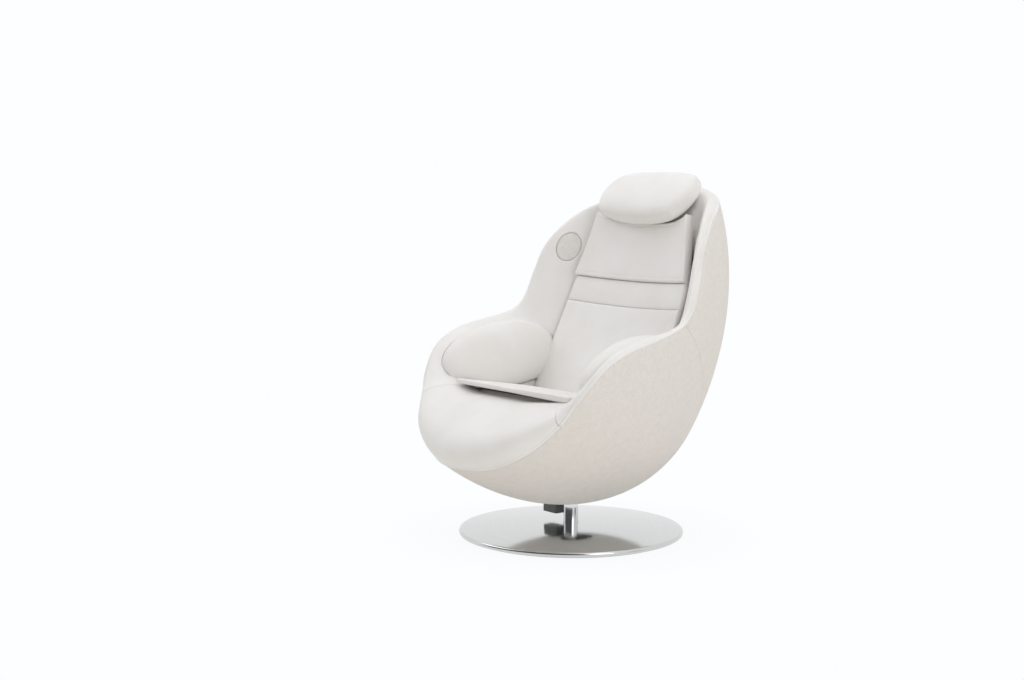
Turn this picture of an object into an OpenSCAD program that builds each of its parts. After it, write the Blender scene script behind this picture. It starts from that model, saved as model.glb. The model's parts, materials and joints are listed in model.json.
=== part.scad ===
// Massage recliner: an egg-shaped bucket on a swivel column, with a reclining tub and a
// travelling kneading carriage behind the back mat.
// Millimetres, +Z up, origin on the column's axis at the floor. The sitter faces -Y.

/* [Base] */
// Diameter of the base disc
base_d = 600; // [560:1:640]
// Height of the disc's rolled edge
base_edge_h = 14; // [12:0.5:18]
// Rise of the dome from the edge to the column
base_rise = 15; // [10:0.5:20]
// Wall of the base disc
base_wall = 3; // [2:0.5:4]
// Thickness of the glide ring under the disc
glide_t = 2; // [1.5:0.5:3]
// Thickness of the ballast plate
ballast_t = 9; // [6:0.5:10]
// Diameter of the column
column_d = 40; // [36:1:44]
// Wall of the column
column_wall = 3; // [2.5:0.5:4]
// Height of the column's top end above the floor
column_top = 186; // [180:1:190]

/* [Swivel and tilt] */
// Height of the tilt axle above the floor
axle_z = 248; // [244:1:254]
// Diameter of the tilt axle
axle_d = 20; // [16:1:22]
// Distance from the middle to the inside of a bracket ear
ear_x = 54; // [50:1:58]
// Thickness of a bracket ear
ear_t = 6; // [5:0.5:8]
// Distance from the middle to the inside of a frame plate
plate_x = 72; // [70:1:76]
// Thickness of a frame plate
plate_t = 6; // [5:0.5:7]
// Wall of the swivel bush
bush_wall = 3; // [2:0.5:4]
// Wall of the swivel hub
hub_wall = 7; // [5:0.5:9]
// Largest recline
recline_max = 15; // [10:1:15]

/* [Shell] */
// Half the width of the shell over its fabric
shell_half_w = 365; // [350:1:380]
// Long half axis, from the centre up to the crown
shell_rise = 697; // [685:1:710]
// Long half axis, from the centre down to the front foot
shell_drop = 431; // [425:1:440]
// Short half axis, from the centre to the deepest point
shell_deep = 570; // [560:1:578]
// Short half axis on the open side, which only the rim reaches
shell_open = 300; // [250:1:350]
// Lean of the long axis above the floor, in degrees
shell_lean = 53.6; // [53:0.1:54.2]
// Height of the shell's underside above the floor, at the column
belly_z = 84.4; // [82:0.2:88]
// Lean of the line from there to the centre of the egg, in degrees
belly_lean = 15.35; // [15:0.05:15.7]
// Thickness of the fabric cover
cover_t = 3; // [2:0.5:4]
// Thickness of the moulded tub
tub_t = 12; // [9:0.5:14]
// Half the width of the belly slot that the column passes through
slot_half_w = 33; // [30:1:36]

/* [Well] */
// Half the width of the seat pad
seat_half_w = 240; // [230:1:246]
// Front edge of the seat pad along Y
seat_front_y = -214; // [-220:1:-208]
// Height of the seat pad's front edge
seat_front_z = 419; // [416:1:424]
// Where seat and back meet, along Y
crease_y = 60; // [56:1:64]
// Where seat and back meet, above the floor
crease_z = 370; // [366:1:374]
// How far the back mat's curve ends in front of the crown
mat_top_front = 188.5; // [184:0.5:192]
// How far above the crown that curve ends, under the pillow
mat_top_rise = 16.8; // [7:0.2:22]
// Thickness of the back mat and the seat pad
mat_t = 24; // [20:1:28]
// Dish of the back mat, from its side edges to its middle
mat_dish = 22; // [18:1:24]
// Half the width of the back mat at its foot
mat_foot_w = 234; // [228:1:238]
// Half the width of the back mat at the lumbar band
mat_band_w = 221; // [215:1:226]
// Half the width of the back mat at its top
mat_top_w = 158; // [152:1:164]
// Thickness of the padded liner
liner_t = 20; // [16:1:24]

/* [Cushions] */
// Length of an arm bolster
bolster_l = 356; // [340:1:366]
// Height of an arm bolster
bolster_h = 186; // [176:1:192]
// Thickness of an arm bolster
bolster_t = 100; // [90:1:104]
// Width of the head pillow
pillow_w = 332; // [315:1:345]
// Height of the head pillow
pillow_h = 170; // [160:1:176]
// Thickness of the head pillow
pillow_t = 80; // [70:1:84]
// Diameter of a loudspeaker grille
grille_d = 76; // [66:1:84]

/* [Massage mechanism] */
// Lean of the guide rails above the floor, in degrees
rail_lean = 70; // [69:0.5:71]
// Distance from the middle to the web of a guide rail
rail_x = 128; // [124:1:132]
// Length of the guide rails
rail_l = 370; // [340:1:380]
// Diameter of a kneading roller
roller_d = 56; // [50:1:60]
// Width of a kneading roller
roller_w = 24; // [20:1:28]
// Spacing of the two rollers of one arm
roller_gap = 96; // [84:1:104]
// Diameter of the kneading shaft
knead_d = 14; // [12:1:16]
// Diameter of the lead screw
screw_d = 14; // [12:1:16]

/* [Hidden] */

// Clearance between pieces that lie beside each other
gap = 0.4;
// Clearance where a piece seats on another of the same body
seat_gap = 0.2;
// Radial clearance of a running fit
run = 0.05;
// Overrun of a cut past the face that it opens
cut = 1;

// Base and column
base_r = base_d / 2;
nose_r = base_edge_h / 2;
lip_w = 60;
ballast_lap = 8;
column_r = column_d / 2;
ballast_r = base_r - lip_w + ballast_lap;
ballast_z = glide_t + base_wall;
flange_t = 6;
flange_r = 58;
flange_z = ballast_z + ballast_t;
bolt_r = 4;
bolt_head_r = 7;
bolt_head_h = 5;
bolt_circle_r = 44;
bolt_n = 4;
dome_n = 6;
glide_inset = 12;
washer_t = 2;
screw_head_r = 5;
screw_head_h = 3;
screw_shank_r = 2.5;
screw_z = 60;
screw_turn = 205;

// Swivel
bush_in_r = column_r + run;
bush_out_r = bush_in_r + bush_wall;
hub_r = bush_out_r + hub_wall;
hub_l = 64;
hub_z = column_top - hub_l;
hub_ceiling_z = column_top + washer_t + run;
hub_cap_t = 7;
hub_top_z = hub_ceiling_z + hub_cap_t;
bracket_t = 6;
bracket_half_y = 42;
ear_boss_r = 21;
axle_r = axle_d / 2;
clip_t = 3;
clip_wall = 4;
bush_flange_t = 2;

// Actuator, in the plane x = 0
foot_y = -70;
foot_drop = 88;
foot_z = axle_z - foot_drop;
rod_y = -196;
rod_lift = 44;
rod_z = axle_z + rod_lift;
act_l = norm([rod_y - foot_y, rod_z - foot_z]);
act_lean = atan2(foot_y - rod_y, rod_z - foot_z);
lug_x = 15;
lug_t = 4;
lug_r = 12;
act_pin_r = 5;
rod_play = 1.3;
act_eye_r = 11;
act_tube_r = 17;
act_gear_r = 23;
act_gear_l = 34;
act_tube_l = 122;
act_motor_x = 43;
act_motor_r = 18;
act_motor_l = 96;
act_motor_step = 1;
rod_r = 8;

// Shell geometry: a lopsided egg about shell_c, whose long axis leans by shell_lean
long_dir = [0, cos(shell_lean), sin(shell_lean)];
deep_dir = [0, sin(shell_lean), -cos(shell_lean)];
mouth_dir = -deep_dir;
belly_dir = [0, sin(belly_lean), -cos(belly_lean)];
function unit(v) = v / norm(v);
back_dir = [0, -belly_dir.z, belly_dir.y];
function ray(th, ph) = belly_dir * cos(ph) + ([cos(th), 0, 0] + back_dir * sin(th)) * sin(ph);
function half_x(inset) = shell_half_w - inset;
function half_long(l, inset) = (l > 0 ? shell_rise : shell_drop) - inset;
function half_deep(s, inset) = (s > 0 ? shell_deep : shell_open) - inset;
function reach(d, inset) =
    let(l = d * long_dir, s = d * deep_dir)
    1 / norm([d.x / half_x(inset), l / half_long(l, inset), s / half_deep(s, inset)]);
belly_reach = reach(belly_dir, 0);
shell_c = [0, 0, belly_z] - belly_dir * belly_reach;
function shell_at(th, ph, inset = 0) = shell_c + ray(th, ph) * reach(ray(th, ph), inset);
function shell_normal(p) =
    let(d = p - shell_c, l = d * long_dir, s = d * deep_dir)
    unit([d.x / half_x(0) ^ 2, 0, 0] + long_dir * l / half_long(l, 0) ^ 2
        + deep_dir * s / half_deep(s, 0) ^ 2);

// The rim: direction round the belly and angle up from it, from the front foot to the crown.
// Entry 3 is the seam of the front lip and entry 9 the seam of the cover.
rim_angles = [[-90, 51], [-70, 50.4], [-50, 55], [-34, 63.3], [-24, 71.9], [-12, 80], [0, 82.6], [14, 82.3],
    [25, 82.1], [32.5, 82.9], [39, 86.7], [44.5, 94.2], [50, 101.6], [60, 106], [74, 105.6], [82, 105.2],
    [90, 105]];
lip_knot = 3;
seam_knot = 9;
// The well's edge for the same entries: shares of seat_half_w, of the run from seat_front_y to
// mat_top_y, and of the rise from crease_z to mat_top_z
well_shares = [[0, 0.1, 0.012], [0.36, 0.1, 0.012], [0.64, 0.1, 0.012], [0.85, 0.13, 0.012],
    [1.02, 0.19, 0.008], [1.03, 0.28, 0.008], [1.02, 0.38, 0.008], [1.01, 0.5, 0.006],
    [0.985, 0.623, 0.01], [0.96, 0.722, 0.126], [0.937, 0.81, 0.27], [0.908, 0.885, 0.4],
    [0.875, 0.953, 0.523], [0.77, 1.015, 0.688], [0.64, 1.06, 0.838], [0.44, 1.09, 0.862],
    [0, 1.1, 0.865]];
// For the same entries: how far the roll is pulled off the rim, how far it is tucked in, and at
// the well's edge its pull, its rise in degrees and the share of the mouth's direction in that.
// The pulls and the tuck are shares of roll_size.
roll_size = 100;
roll_shares = [[1.18, 0, 1.3, 8, 0], [1.18, 0, 1.3, 8, 0], [1.08, 0, 1.15, 8, 0], [0.7, 0.12, 0.9, 25, 0],
    [0.44, 0.24, 1.2, 50, 0], [0.33, 0.3, 1.7, 70, 0], [0.33, 0.3, 1.9, 76, 0], [0.33, 0.3, 1.9, 76, 0],
    [0.4, 0.24, 1.5, 66, 0.2], [0.56, 0.14, 0.8, 45, 0.6], [0.76, 0.04, 0.65, 30, 1], [0.85, 0, 0.6, 26, 1],
    [0.85, 0.06, 0.6, 25, 1], [0.8, 0.26, 0.6, 26, 1], [0.55, 0.36, 0.5, 36, 0.6],
    [0.48, 0.36, 0.5, 48, 0.2], [0.44, 0.36, 0.5, 50, 0]];
knot_n = len(rim_angles) - 1;
function entry(list, i) = list[min(max(i, 0), len(list) - 1)];
// Smooth curve through the entries of a list
function spline(list, u) =
    let(i = min(floor(u), len(list) - 2), f = u - i)
    let(p0 = entry(list, i - 1), p1 = entry(list, i), p2 = entry(list, i + 1), p3 = entry(list, i + 2))
    0.5 * (2 * p1 + (p2 - p0) * f + (2 * p0 - 5 * p1 + 4 * p2 - p3) * f ^ 2
        + (3 * p1 - p0 - 3 * p2 + p3) * f ^ 3);
function bezier(p0, p1, p2, p3, t) =
    p0 * (1 - t) ^ 3 + p1 * 3 * t * (1 - t) ^ 2 + p2 * 3 * t ^ 2 * (1 - t) + p3 * t ^ 3;
function lerp(a, b, t) = a + (b - a) * t;
function flip(p, side) = [p.x * side, p.y, p.z];

// The grid lines of the shell drift to the back as they run down to the belly slot
drift_angle = 42.5;
drift_power = 0.85;
seam_angle = rim_angles[seam_knot][0];
function drift(th) =
    drift_angle * (th > seam_angle ? (90 - th) / (90 - seam_angle) : (th + 90) / (seam_angle + 90));
// Belly slot: an oval whose long half carries the recline
slot_front_play = 10;
slot_back_play = 8;
slot_front = column_r + slot_front_play;
slot_back = column_r + slot_back_play + (axle_z - belly_z) * sin(recline_max);
slot_mid = (slot_back - slot_front) / 2;
slot_half_l = (slot_back + slot_front) / 2;
function slot_reach(th) =
    let(square_term = (cos(th) / slot_half_w) ^ 2 + (sin(th) / slot_half_l) ^ 2)
    let(middle_term = sin(th) * slot_mid / slot_half_l ^ 2, rest = 1 - (slot_mid / slot_half_l) ^ 2)
    (middle_term + sqrt(middle_term ^ 2 + square_term * rest)) / square_term;
function slot_angle(th) = atan2(slot_reach(th), belly_reach);
// Point of the shell: u along the rim's entries, t from the slot to the rim
function shell_point(u, t, inset) =
    let(rim = spline(rim_angles, u), th = rim[0] + drift(rim[0]) * (1 - t) ^ drift_power)
    shell_at(th, lerp(slot_angle(th), rim[1], t), inset);

// Liner: from the rim over the roll to the well's edge
crown = shell_at(90, rim_angles[len(rim_angles) - 1][1]);
mat_top_y = crown.y - mat_top_front;
mat_top_z = crown.z + mat_top_rise;
well_run = mat_top_y - seat_front_y;
well_rise = mat_top_z - crease_z;
function well_point(u) =
    let(share = spline(well_shares, u))
    [share[0] * seat_half_w, seat_front_y + share[1] * well_run, crease_z + share[2] * well_rise];
function rim_point(u) =
    let(rim = spline(rim_angles, min(max(u, 0), knot_n)))
    shell_at(rim[0], rim[1]);
// Step along the rim that a direction is taken over
probe = 0.05;
// Clearance at the rim, where the facets of the tub's wall run inside its curve
rim_gap = 0.8;
function rim_tangent(u) =
    u >= knot_n ? [-1, 0, 0] : u <= 0 ? [1, 0, 0] : unit(rim_point(u + probe) - rim_point(u - probe));
function roll_dir(u) =
    let(across = unit(cross(shell_normal(rim_point(u)), rim_tangent(u))))
    across * mouth_dir > 0 ? across : -across;
function out_dir(u) =
    let(way = rim_point(u) - well_point(u))
    u >= knot_n ? [0, 1, 0] : u <= 0 ? [0, -1, 0] : unit([way.x, way.y, 0]);
function rise_dir(roll) = unit(lerp([0, 0, 1], mouth_dir, roll[4]));
function edge_dir(u, roll) = out_dir(u) * cos(roll[3]) + rise_dir(roll) * sin(roll[3]);
// Point of the liner's leather: v from the rim (0) to the well's edge (1)
function liner_point(u, v) =
    let(roll = spline(roll_shares, u), rim = rim_point(u), edge = well_point(u), up = roll_dir(u))
    v <= 0 ? rim + up * rim_gap
    : bezier(rim, rim + (up * roll[0] - out_dir(u) * roll[1]) * roll_size,
        edge + edge_dir(u, roll) * roll[2] * roll_size, edge, v);
function liner_normal(u, v) =
    let(along = liner_point(min(u + probe, knot_n), v) - liner_point(max(u - probe, 0), v))
    let(across = liner_point(u, min(v + probe, 1)) - liner_point(u, max(v - probe, 0)))
    unit(cross(along, across));
// Back of the liner: down the tub's wall, then in under the well's edge
rim_t = cover_t + gap + tub_t;
// Angle over which it follows the tub's wall, and how far it stands off there
wall_turn = 10;
wall_play = 12;
function liner_back(u, v) =
    let(roll = spline(roll_shares, u), rim = spline(rim_angles, u))
    let(top = shell_at(rim[0], rim[1], rim_t + rim_gap))
    let(under = out_dir(u) * sin(roll[3]) - rise_dir(roll) * cos(roll[3]))
    let(foot = well_point(u) + under * liner_t)
    v <= 0 ? top + roll_dir(u) * rim_gap
    : bezier(top, shell_at(rim[0], rim[1] - wall_turn, rim_t + wall_play),
        foot + edge_dir(u, roll) * roll[2] * roll_size / 2, foot, v);

// Solid between two grids of points with the same rows and columns
module thick_sheet(under, over, ring = false) {
    rows = len(under);
    cols = len(under[0]);
    count = rows * cols;
    points = concat([for (r = under) each r], [for (r = over) each r]);
    last = ring ? rows - 1 : rows - 2;
    end = rows - 1;
    edge = cols - 1;
    function id(i, j) = (i % rows) * cols + j;
    low_side = [for (i = [0:last]) for (j = [0:cols - 2]) each [
        [id(i, j), id(i + 1, j), id(i + 1, j + 1)], [id(i, j), id(i + 1, j + 1), id(i, j + 1)]]];
    high_side = [for (f = low_side) [f[0] + count, f[2] + count, f[1] + count]];
    first_edge = [for (i = [0:last]) each [
        [id(i, 0), id(i, 0) + count, id(i + 1, 0) + count],
        [id(i, 0), id(i + 1, 0) + count, id(i + 1, 0)]]];
    last_edge = [for (i = [0:last]) each [
        [id(i, edge), id(i + 1, edge), id(i + 1, edge) + count],
        [id(i, edge), id(i + 1, edge) + count, id(i, edge) + count]]];
    first_end = ring ? [] : [for (j = [0:cols - 2]) each [
        [id(0, j), id(0, j + 1), id(0, j + 1) + count],
        [id(0, j), id(0, j + 1) + count, id(0, j) + count]]];
    last_end = ring ? [] : [for (j = [0:cols - 2]) each [
        [id(end, j), id(end, j + 1) + count, id(end, j + 1)],
        [id(end, j), id(end, j) + count, id(end, j + 1) + count]]];
    polyhedron(points, concat(low_side, high_side, first_edge, last_edge, first_end, last_end));
}

// Closed solid on the facets of the shell at an inset, for trimming what seats on its wall
mouth_reach = 150;
module shell_core(inset) {
    cols = 2 * shell_steps;
    rings = [for (i = [0:cols - 1]) [for (j = [0:shell_rows]) ring_point(i, j / shell_rows, inset)]];
    foot = shell_at(0, 0, inset);
    mouth = shell_c + mouth_dir * mouth_reach;
    pts = concat([foot, mouth], [for (r = rings) each r]);
    function id(i, j) = 2 + (i % cols) * (shell_rows + 1) + j;
    sides = [for (i = [0:cols - 1]) for (j = [0:shell_rows - 1]) each [
        [id(i, j), id(i + 1, j + 1), id(i + 1, j)], [id(i, j), id(i, j + 1), id(i + 1, j + 1)]]];
    low = [for (i = [0:cols - 1]) [0, id(i, 0), id(i + 1, 0)]];
    high = [for (i = [0:cols - 1]) [1, id(i + 1, shell_rows), id(i, shell_rows)]];
    polyhedron(pts, concat(sides, low, high));
}

// Shell ring from the slot to the rim between two insets
shell_steps = 32;
shell_rows = 12;
module shell_ring(first, last, outer, inner, whole = false) {
    cols = [for (i = [first:last]) i];
    outside = [for (i = cols) [for (j = [0:shell_rows]) ring_point(i, j / shell_rows, outer)]];
    inside = [for (i = cols) [for (j = [0:shell_rows]) ring_point(i, j / shell_rows, inner)]];
    thick_sheet(inside, outside, whole);
}
// Ring index 0 is the front foot, shell_steps the crown, and the left side goes down again
function ring_point(i, t, inset) =
    let(k = (i + 2 * shell_steps) % (2 * shell_steps), left = k > shell_steps)
    flip(shell_point((left ? 2 * shell_steps - k : k) * knot_n / shell_steps, t, inset), left ? -1 : 1);

// Liner, over the entries first to last, at the given fineness
liner_v = 9;
module liner_sheet(first, last, steps) {
    function end_step(i) = i == 0 ? seam_share : i == steps ? -seam_share : 0;
    us = [for (i = [0:steps]) lerp(first, last, i / steps) + end_step(i)];
    vs = [for (j = [0:liner_v]) j / liner_v];
    thick_sheet([for (u = us) [for (v = vs) liner_back(u, v)]],
        [for (u = us) [for (v = vs) liner_point(u, v)]]);
}

// Crowned pad over a square of u and v from -1 to 1. The plan runs from a square (0) to an
// ellipse (1), and the crown falls to the seam at the edges.
function plan_point(u, v, round_share) =
    [u * sqrt(1 - round_share * v ^ 2 / 2), v * sqrt(1 - round_share * u ^ 2 / 2)];
function crown(u, v, power) = sqrt((1 - abs(u) ^ power) * (1 - abs(v) ^ power));
function ease(i, n) = sin(90 * (2 * i / n - 1));
module pad(half_w, half_l, half_t, seam, round_share, power, n, dish = 0) {
    us = [for (i = [0:n]) ease(i, n)];
    function point(u, v, s) =
        let(plan = plan_point(u, v, round_share))
        [plan[0] * half_w, plan[1] * half_l,
            s * lerp(seam / 2, half_t, crown(u, v, power)) + dish * plan[0] ^ 2];
    thick_sheet([for (u = us) [for (v = us) point(u, v, -1)]], [for (u = us) [for (v = us) point(u, v, 1)]]);
}

// Plate of thickness t in a plane of constant x, drawn in Y and Z
module plate_yz(x, t) {
    translate([x, 0, 0]) rotate([90, 0, 90]) linear_extrude(t) children();
}
module rod_x(x, l, y, z, r) {
    translate([x, y, z]) rotate([0, 90, 0]) cylinder(h = l, r = r, $fn = round_fn);
}
round_fn = 64;
// Straight limb of width w between two points of a plate
module limb(p, q, w) {
    translate(p) rotate(atan2(q[1] - p[1], q[0] - p[0])) translate([0, -w / 2]) square([norm(q - p), w]);
}

// Base
function dome_z(r) = glide_t + base_edge_h + base_rise * (1 - (r / (base_r - nose_r)) ^ 2);
module base_disc() {
    first_r = column_r + gap;
    nose_c = [base_r - nose_r, glide_t + nose_r];
    radii = [for (i = [0:dome_n]) lerp(first_r, base_r - nose_r, i / dome_n)];
    outer = [for (r = radii) [r, dome_z(r)]];
    inner = [for (i = [dome_n:-1:0]) [radii[i], dome_z(radii[i]) - base_wall]];
    nose = [for (a = [75:-15:-90]) nose_c + nose_r * [cos(a), sin(a)]];
    nose_in = [for (a = [-90:15:75]) nose_c + (nose_r - base_wall) * [cos(a), sin(a)]];
    lip = [[base_r - lip_w, glide_t], [base_r - lip_w, glide_t + base_wall]];
    color("silver") rotate_extrude($fn = 96) polygon(concat(outer, nose, lip, nose_in, inner));
}
module base_ballast() {
    color("dimgray") difference() {
        translate([0, 0, ballast_z]) cylinder(h = ballast_t, r = ballast_r, $fn = 128);
        translate([0, 0, ballast_z - cut])
            cylinder(h = ballast_t + 2 * cut, r = column_r + gap, $fn = round_fn);
        bolt_places() cylinder(h = 2 * flange_z, r = bolt_r + run, $fn = 32);
    }
}
module base_glide() {
    color("dimgray") difference() {
        cylinder(h = glide_t, r = base_r - glide_inset, $fn = 128);
        translate([0, 0, -cut]) cylinder(h = glide_t + 2 * cut, r = base_r - lip_w + gap, $fn = 128);
    }
}
module bolt_places() {
    for (k = [0:bolt_n - 1]) rotate(45 + k * 360 / bolt_n) translate([bolt_circle_r, 0, 0]) children();
}
module base_bolts() {
    color("gray") bolt_places() {
        translate([0, 0, ballast_z]) cylinder(h = flange_z + flange_t - ballast_z, r = bolt_r, $fn = 32);
        translate([0, 0, flange_z + flange_t]) cylinder(h = bolt_head_h, r = bolt_head_r, $fn = 6);
    }
}
module column() {
    color("gainsboro") difference() {
        union() {
            translate([0, 0, ballast_z]) cylinder(h = column_top - ballast_z, r = column_r, $fn = round_fn);
            translate([0, 0, flange_z]) cylinder(h = flange_t, r = flange_r, $fn = round_fn);
        }
        translate([0, 0, ballast_z - cut])
            cylinder(h = column_top - ballast_z + 2 * cut, r = column_r - column_wall, $fn = round_fn);
        bolt_places() cylinder(h = 2 * flange_z, r = bolt_r + run, $fn = 32);
        column_screw_hole();
    }
}
module column_screw_hole() {
    rotate(screw_turn) translate([0, 0, screw_z]) rotate([0, 90, 0])
        cylinder(h = column_r + cut, r = screw_shank_r + run, $fn = 32);
}
module column_screw() {
    color("gainsboro") rotate(screw_turn) translate([0, 0, screw_z]) rotate([0, 90, 0]) {
        translate([0, 0, column_r - column_wall])
            cylinder(h = column_wall + screw_head_h, r = screw_shank_r, $fn = 32);
        translate([0, 0, column_r])
            cylinder(h = screw_head_h, r1 = screw_head_r, r2 = screw_shank_r, $fn = 32);
    }
}
module thrust_washer() {
    color("khaki") difference() {
        translate([0, 0, column_top]) cylinder(h = washer_t, r = column_r, $fn = round_fn);
        translate([0, 0, column_top - cut])
            cylinder(h = washer_t + 2 * cut, r = column_r - column_wall, $fn = round_fn);
    }
}

// Swivel
module swivel_bush() {
    color("khaki") difference() {
        translate([0, 0, hub_z]) cylinder(h = column_top - hub_z, r = bush_out_r, $fn = round_fn);
        translate([0, 0, hub_z - cut])
            cylinder(h = column_top - hub_z + 2 * cut, r = bush_in_r, $fn = round_fn);
    }
}
module swivel_hub() {
    color("dimgray") difference() {
        translate([0, 0, hub_z]) cylinder(h = hub_top_z - hub_z, r = hub_r, $fn = round_fn);
        translate([0, 0, hub_z - cut])
            cylinder(h = hub_ceiling_z - hub_z + cut, r = bush_out_r, $fn = round_fn);
    }
}
module tilt_bracket() {
    top_z = hub_top_z + bracket_t;
    color("dimgray") {
        translate([-ear_x - ear_t, -bracket_half_y, hub_top_z])
            cube([2 * (ear_x + ear_t), 2 * bracket_half_y, bracket_t]);
        for (s = [-1, 1]) plate_yz(s > 0 ? ear_x : -ear_x - ear_t, ear_t) difference() {
            union() {
                polygon([[-bracket_half_y, hub_top_z], [bracket_half_y, hub_top_z], [ear_boss_r, axle_z],
                    [-ear_boss_r, axle_z]]);
                translate([0, axle_z]) circle(r = ear_boss_r, $fn = round_fn);
            }
            translate([0, axle_z]) circle(r = axle_r + run, $fn = round_fn);
        }
        for (s = [-1, 1]) plate_yz(s > 0 ? lug_x : -lug_x - lug_t, lug_t) {
            polygon([[foot_y, foot_z - lug_r], [-hub_r - gap, hub_top_z - bracket_t], [-hub_r - gap, top_z],
                [-bracket_half_y - lug_t, top_z], [foot_y, foot_z + lug_r]]);
            translate([foot_y, foot_z]) circle(r = lug_r, $fn = round_fn);
        }
        rod_x(-lug_x - lug_t, 2 * (lug_x + lug_t), foot_y, foot_z, act_pin_r);
    }
}
axle_half_l = plate_x + plate_t + bush_flange_t + clip_t;
module tilt_axle() {
    color("silver") rod_x(-axle_half_l, 2 * axle_half_l, 0, axle_z, axle_r);
}
module axle_clips() {
    color("dimgray") for (s = [-1, 1]) difference() {
        rod_x(s > 0 ? ear_x - clip_t - run : -ear_x + run, clip_t, 0, axle_z, axle_r + clip_wall);
        rod_x(-axle_half_l, 2 * axle_half_l, 0, axle_z, axle_r);
    }
}

// Actuator
module along_actuator() {
    translate([0, foot_y, foot_z]) rotate([act_lean, 0, 0]) children();
}
module actuator_body() {
    eye_half = lug_x - gap;
    gear_z = act_gear_r - act_eye_r / 2;
    color("dimgray") along_actuator() difference() {
        union() {
            rod_x(-eye_half, 2 * eye_half, 0, 0, act_eye_r);
            translate([-eye_half, -act_eye_r, 0]) cube([2 * eye_half, 2 * act_eye_r, act_gear_r]);
            translate([0, 0, gear_z]) cylinder(h = act_gear_l, r = act_gear_r, $fn = round_fn);
            translate([act_motor_x, 0, gear_z]) cylinder(h = act_gear_l, r = act_motor_r, $fn = round_fn);
            translate([0, -act_eye_r, gear_z]) cube([act_motor_x, 2 * act_eye_r, act_gear_l]);
            translate([0, 0, act_gear_r])
                cylinder(h = act_tube_l - act_gear_r, r = act_tube_r, $fn = round_fn);
            translate([act_motor_x, 0, act_gear_r])
                cylinder(h = act_motor_l, r = act_motor_r - act_motor_step, $fn = round_fn);
        }
        rod_x(-eye_half - cut, 2 * (eye_half + cut), 0, 0, act_pin_r + run);
        translate([0, 0, act_gear_r + act_gear_l]) cylinder(h = act_tube_l, r = rod_r + run, $fn = round_fn);
    }
}
module actuator_rod() {
    first = act_gear_r + act_gear_l + gap;
    color("silver") along_actuator() difference() {
        union() {
            translate([0, 0, first]) cylinder(h = act_l - first, r = rod_r, $fn = round_fn);
            rod_x(-rod_r, 2 * rod_r, 0, act_l, act_eye_r);
        }
        rod_x(-rod_r - cut, 2 * (rod_r + cut), 0, act_l, act_pin_r + rod_play);
    }
}
module actuator_pin() {
    color("silver") rod_x(-lug_x - lug_t, 2 * (lug_x + lug_t), rod_y, rod_z, act_pin_r);
}

// Shell and cover
cover_first = seam_knot * shell_steps / knot_n;
module shell_tub() {
    color("lightgray") shell_ring(0, 2 * shell_steps - 1, cover_t + gap, rim_t, true);
}
module cover_front() {
    color("antiquewhite") shell_ring(-cover_first, cover_first, 0, cover_t);
}
module cover_back() {
    color("antiquewhite") shell_ring(cover_first, 2 * shell_steps - cover_first, 0, cover_t);
}

// Seat: the plane falls from the front edge to the crease
seat_run = norm([seat_front_y - crease_y, seat_front_z - crease_z]);
seat_slope = atan2(seat_front_z - crease_z, crease_y - seat_front_y);
module in_seat() {
    translate([0, crease_y, crease_z]) rotate([-seat_slope, 0, 0]) children();
}
foam_t = 48;
foam_margin = 14;
pan_t = 12;
pan_depth = mat_t + gap + foam_t + gap + pan_t;
foam_setback = 100;
pan_lap = 12;
pan_front_y = foam_setback - seat_run - pan_lap;
pan_back_y = 30;
function pan_under_z(y) = crease_z - pan_depth / cos(seat_slope) + (crease_y - y) * tan(seat_slope);
module seat_pan() {
    color("burlywood") intersection() {
        in_seat() translate([-shell_half_w, pan_front_y, -pan_depth])
            cube([2 * shell_half_w, pan_back_y - pan_front_y, pan_t]);
        shell_core(rim_t + gap);
    }
}
module seat_foam() {
    half_w = seat_half_w - foam_margin;
    front = -seat_run + foam_setback;
    color("khaki") in_seat() translate([-half_w, front, -mat_t - gap - foam_t])
        cube([2 * half_w, -front, foam_t]);
}
seat_seam_share = 0.6;
seat_round_share = 0.22;
seat_steps = 12;
module seat_pad() {
    half_l = (seat_run - gap) / 2;
    color("ivory") difference() {
        in_seat() translate([0, -gap - half_l, -mat_t / 2])
            pad(seat_half_w, half_l, mat_t / 2, mat_t * seat_seam_share, seat_round_share, 4, seat_steps);
        for (s = [-1, 1]) bolster(s, gap);
    }
}
// Arm bolsters, leaning out at the top
bolster_inset = 92;
bolster_x = shell_half_w - bolster_inset;
bolster_y = -33;
bolster_z = 458;
bolster_lean = 8.5;
bolster_pitch = 8.5;
bolster_turn = 6;
bolster_seam_share = 0.2;
bolster_steps = 14;
module bolster(side, grow) {
    translate([side * bolster_x, bolster_y, bolster_z]) rotate([bolster_pitch, 0, side * bolster_turn])
        rotate([0, side * (90 + bolster_lean), 0])
            pad(bolster_h / 2 + grow, bolster_l / 2 + grow, bolster_t / 2 + grow,
                2 * grow + bolster_t * bolster_seam_share, 1, 2, bolster_steps);
}
module bolster_left() {
    color("ivory") bolster(1, 0);
}
module bolster_right() {
    color("ivory") bolster(-1, 0);
}

// Leather lip and side liners
liner_steps = 26;
lip_steps = 6;
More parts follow.
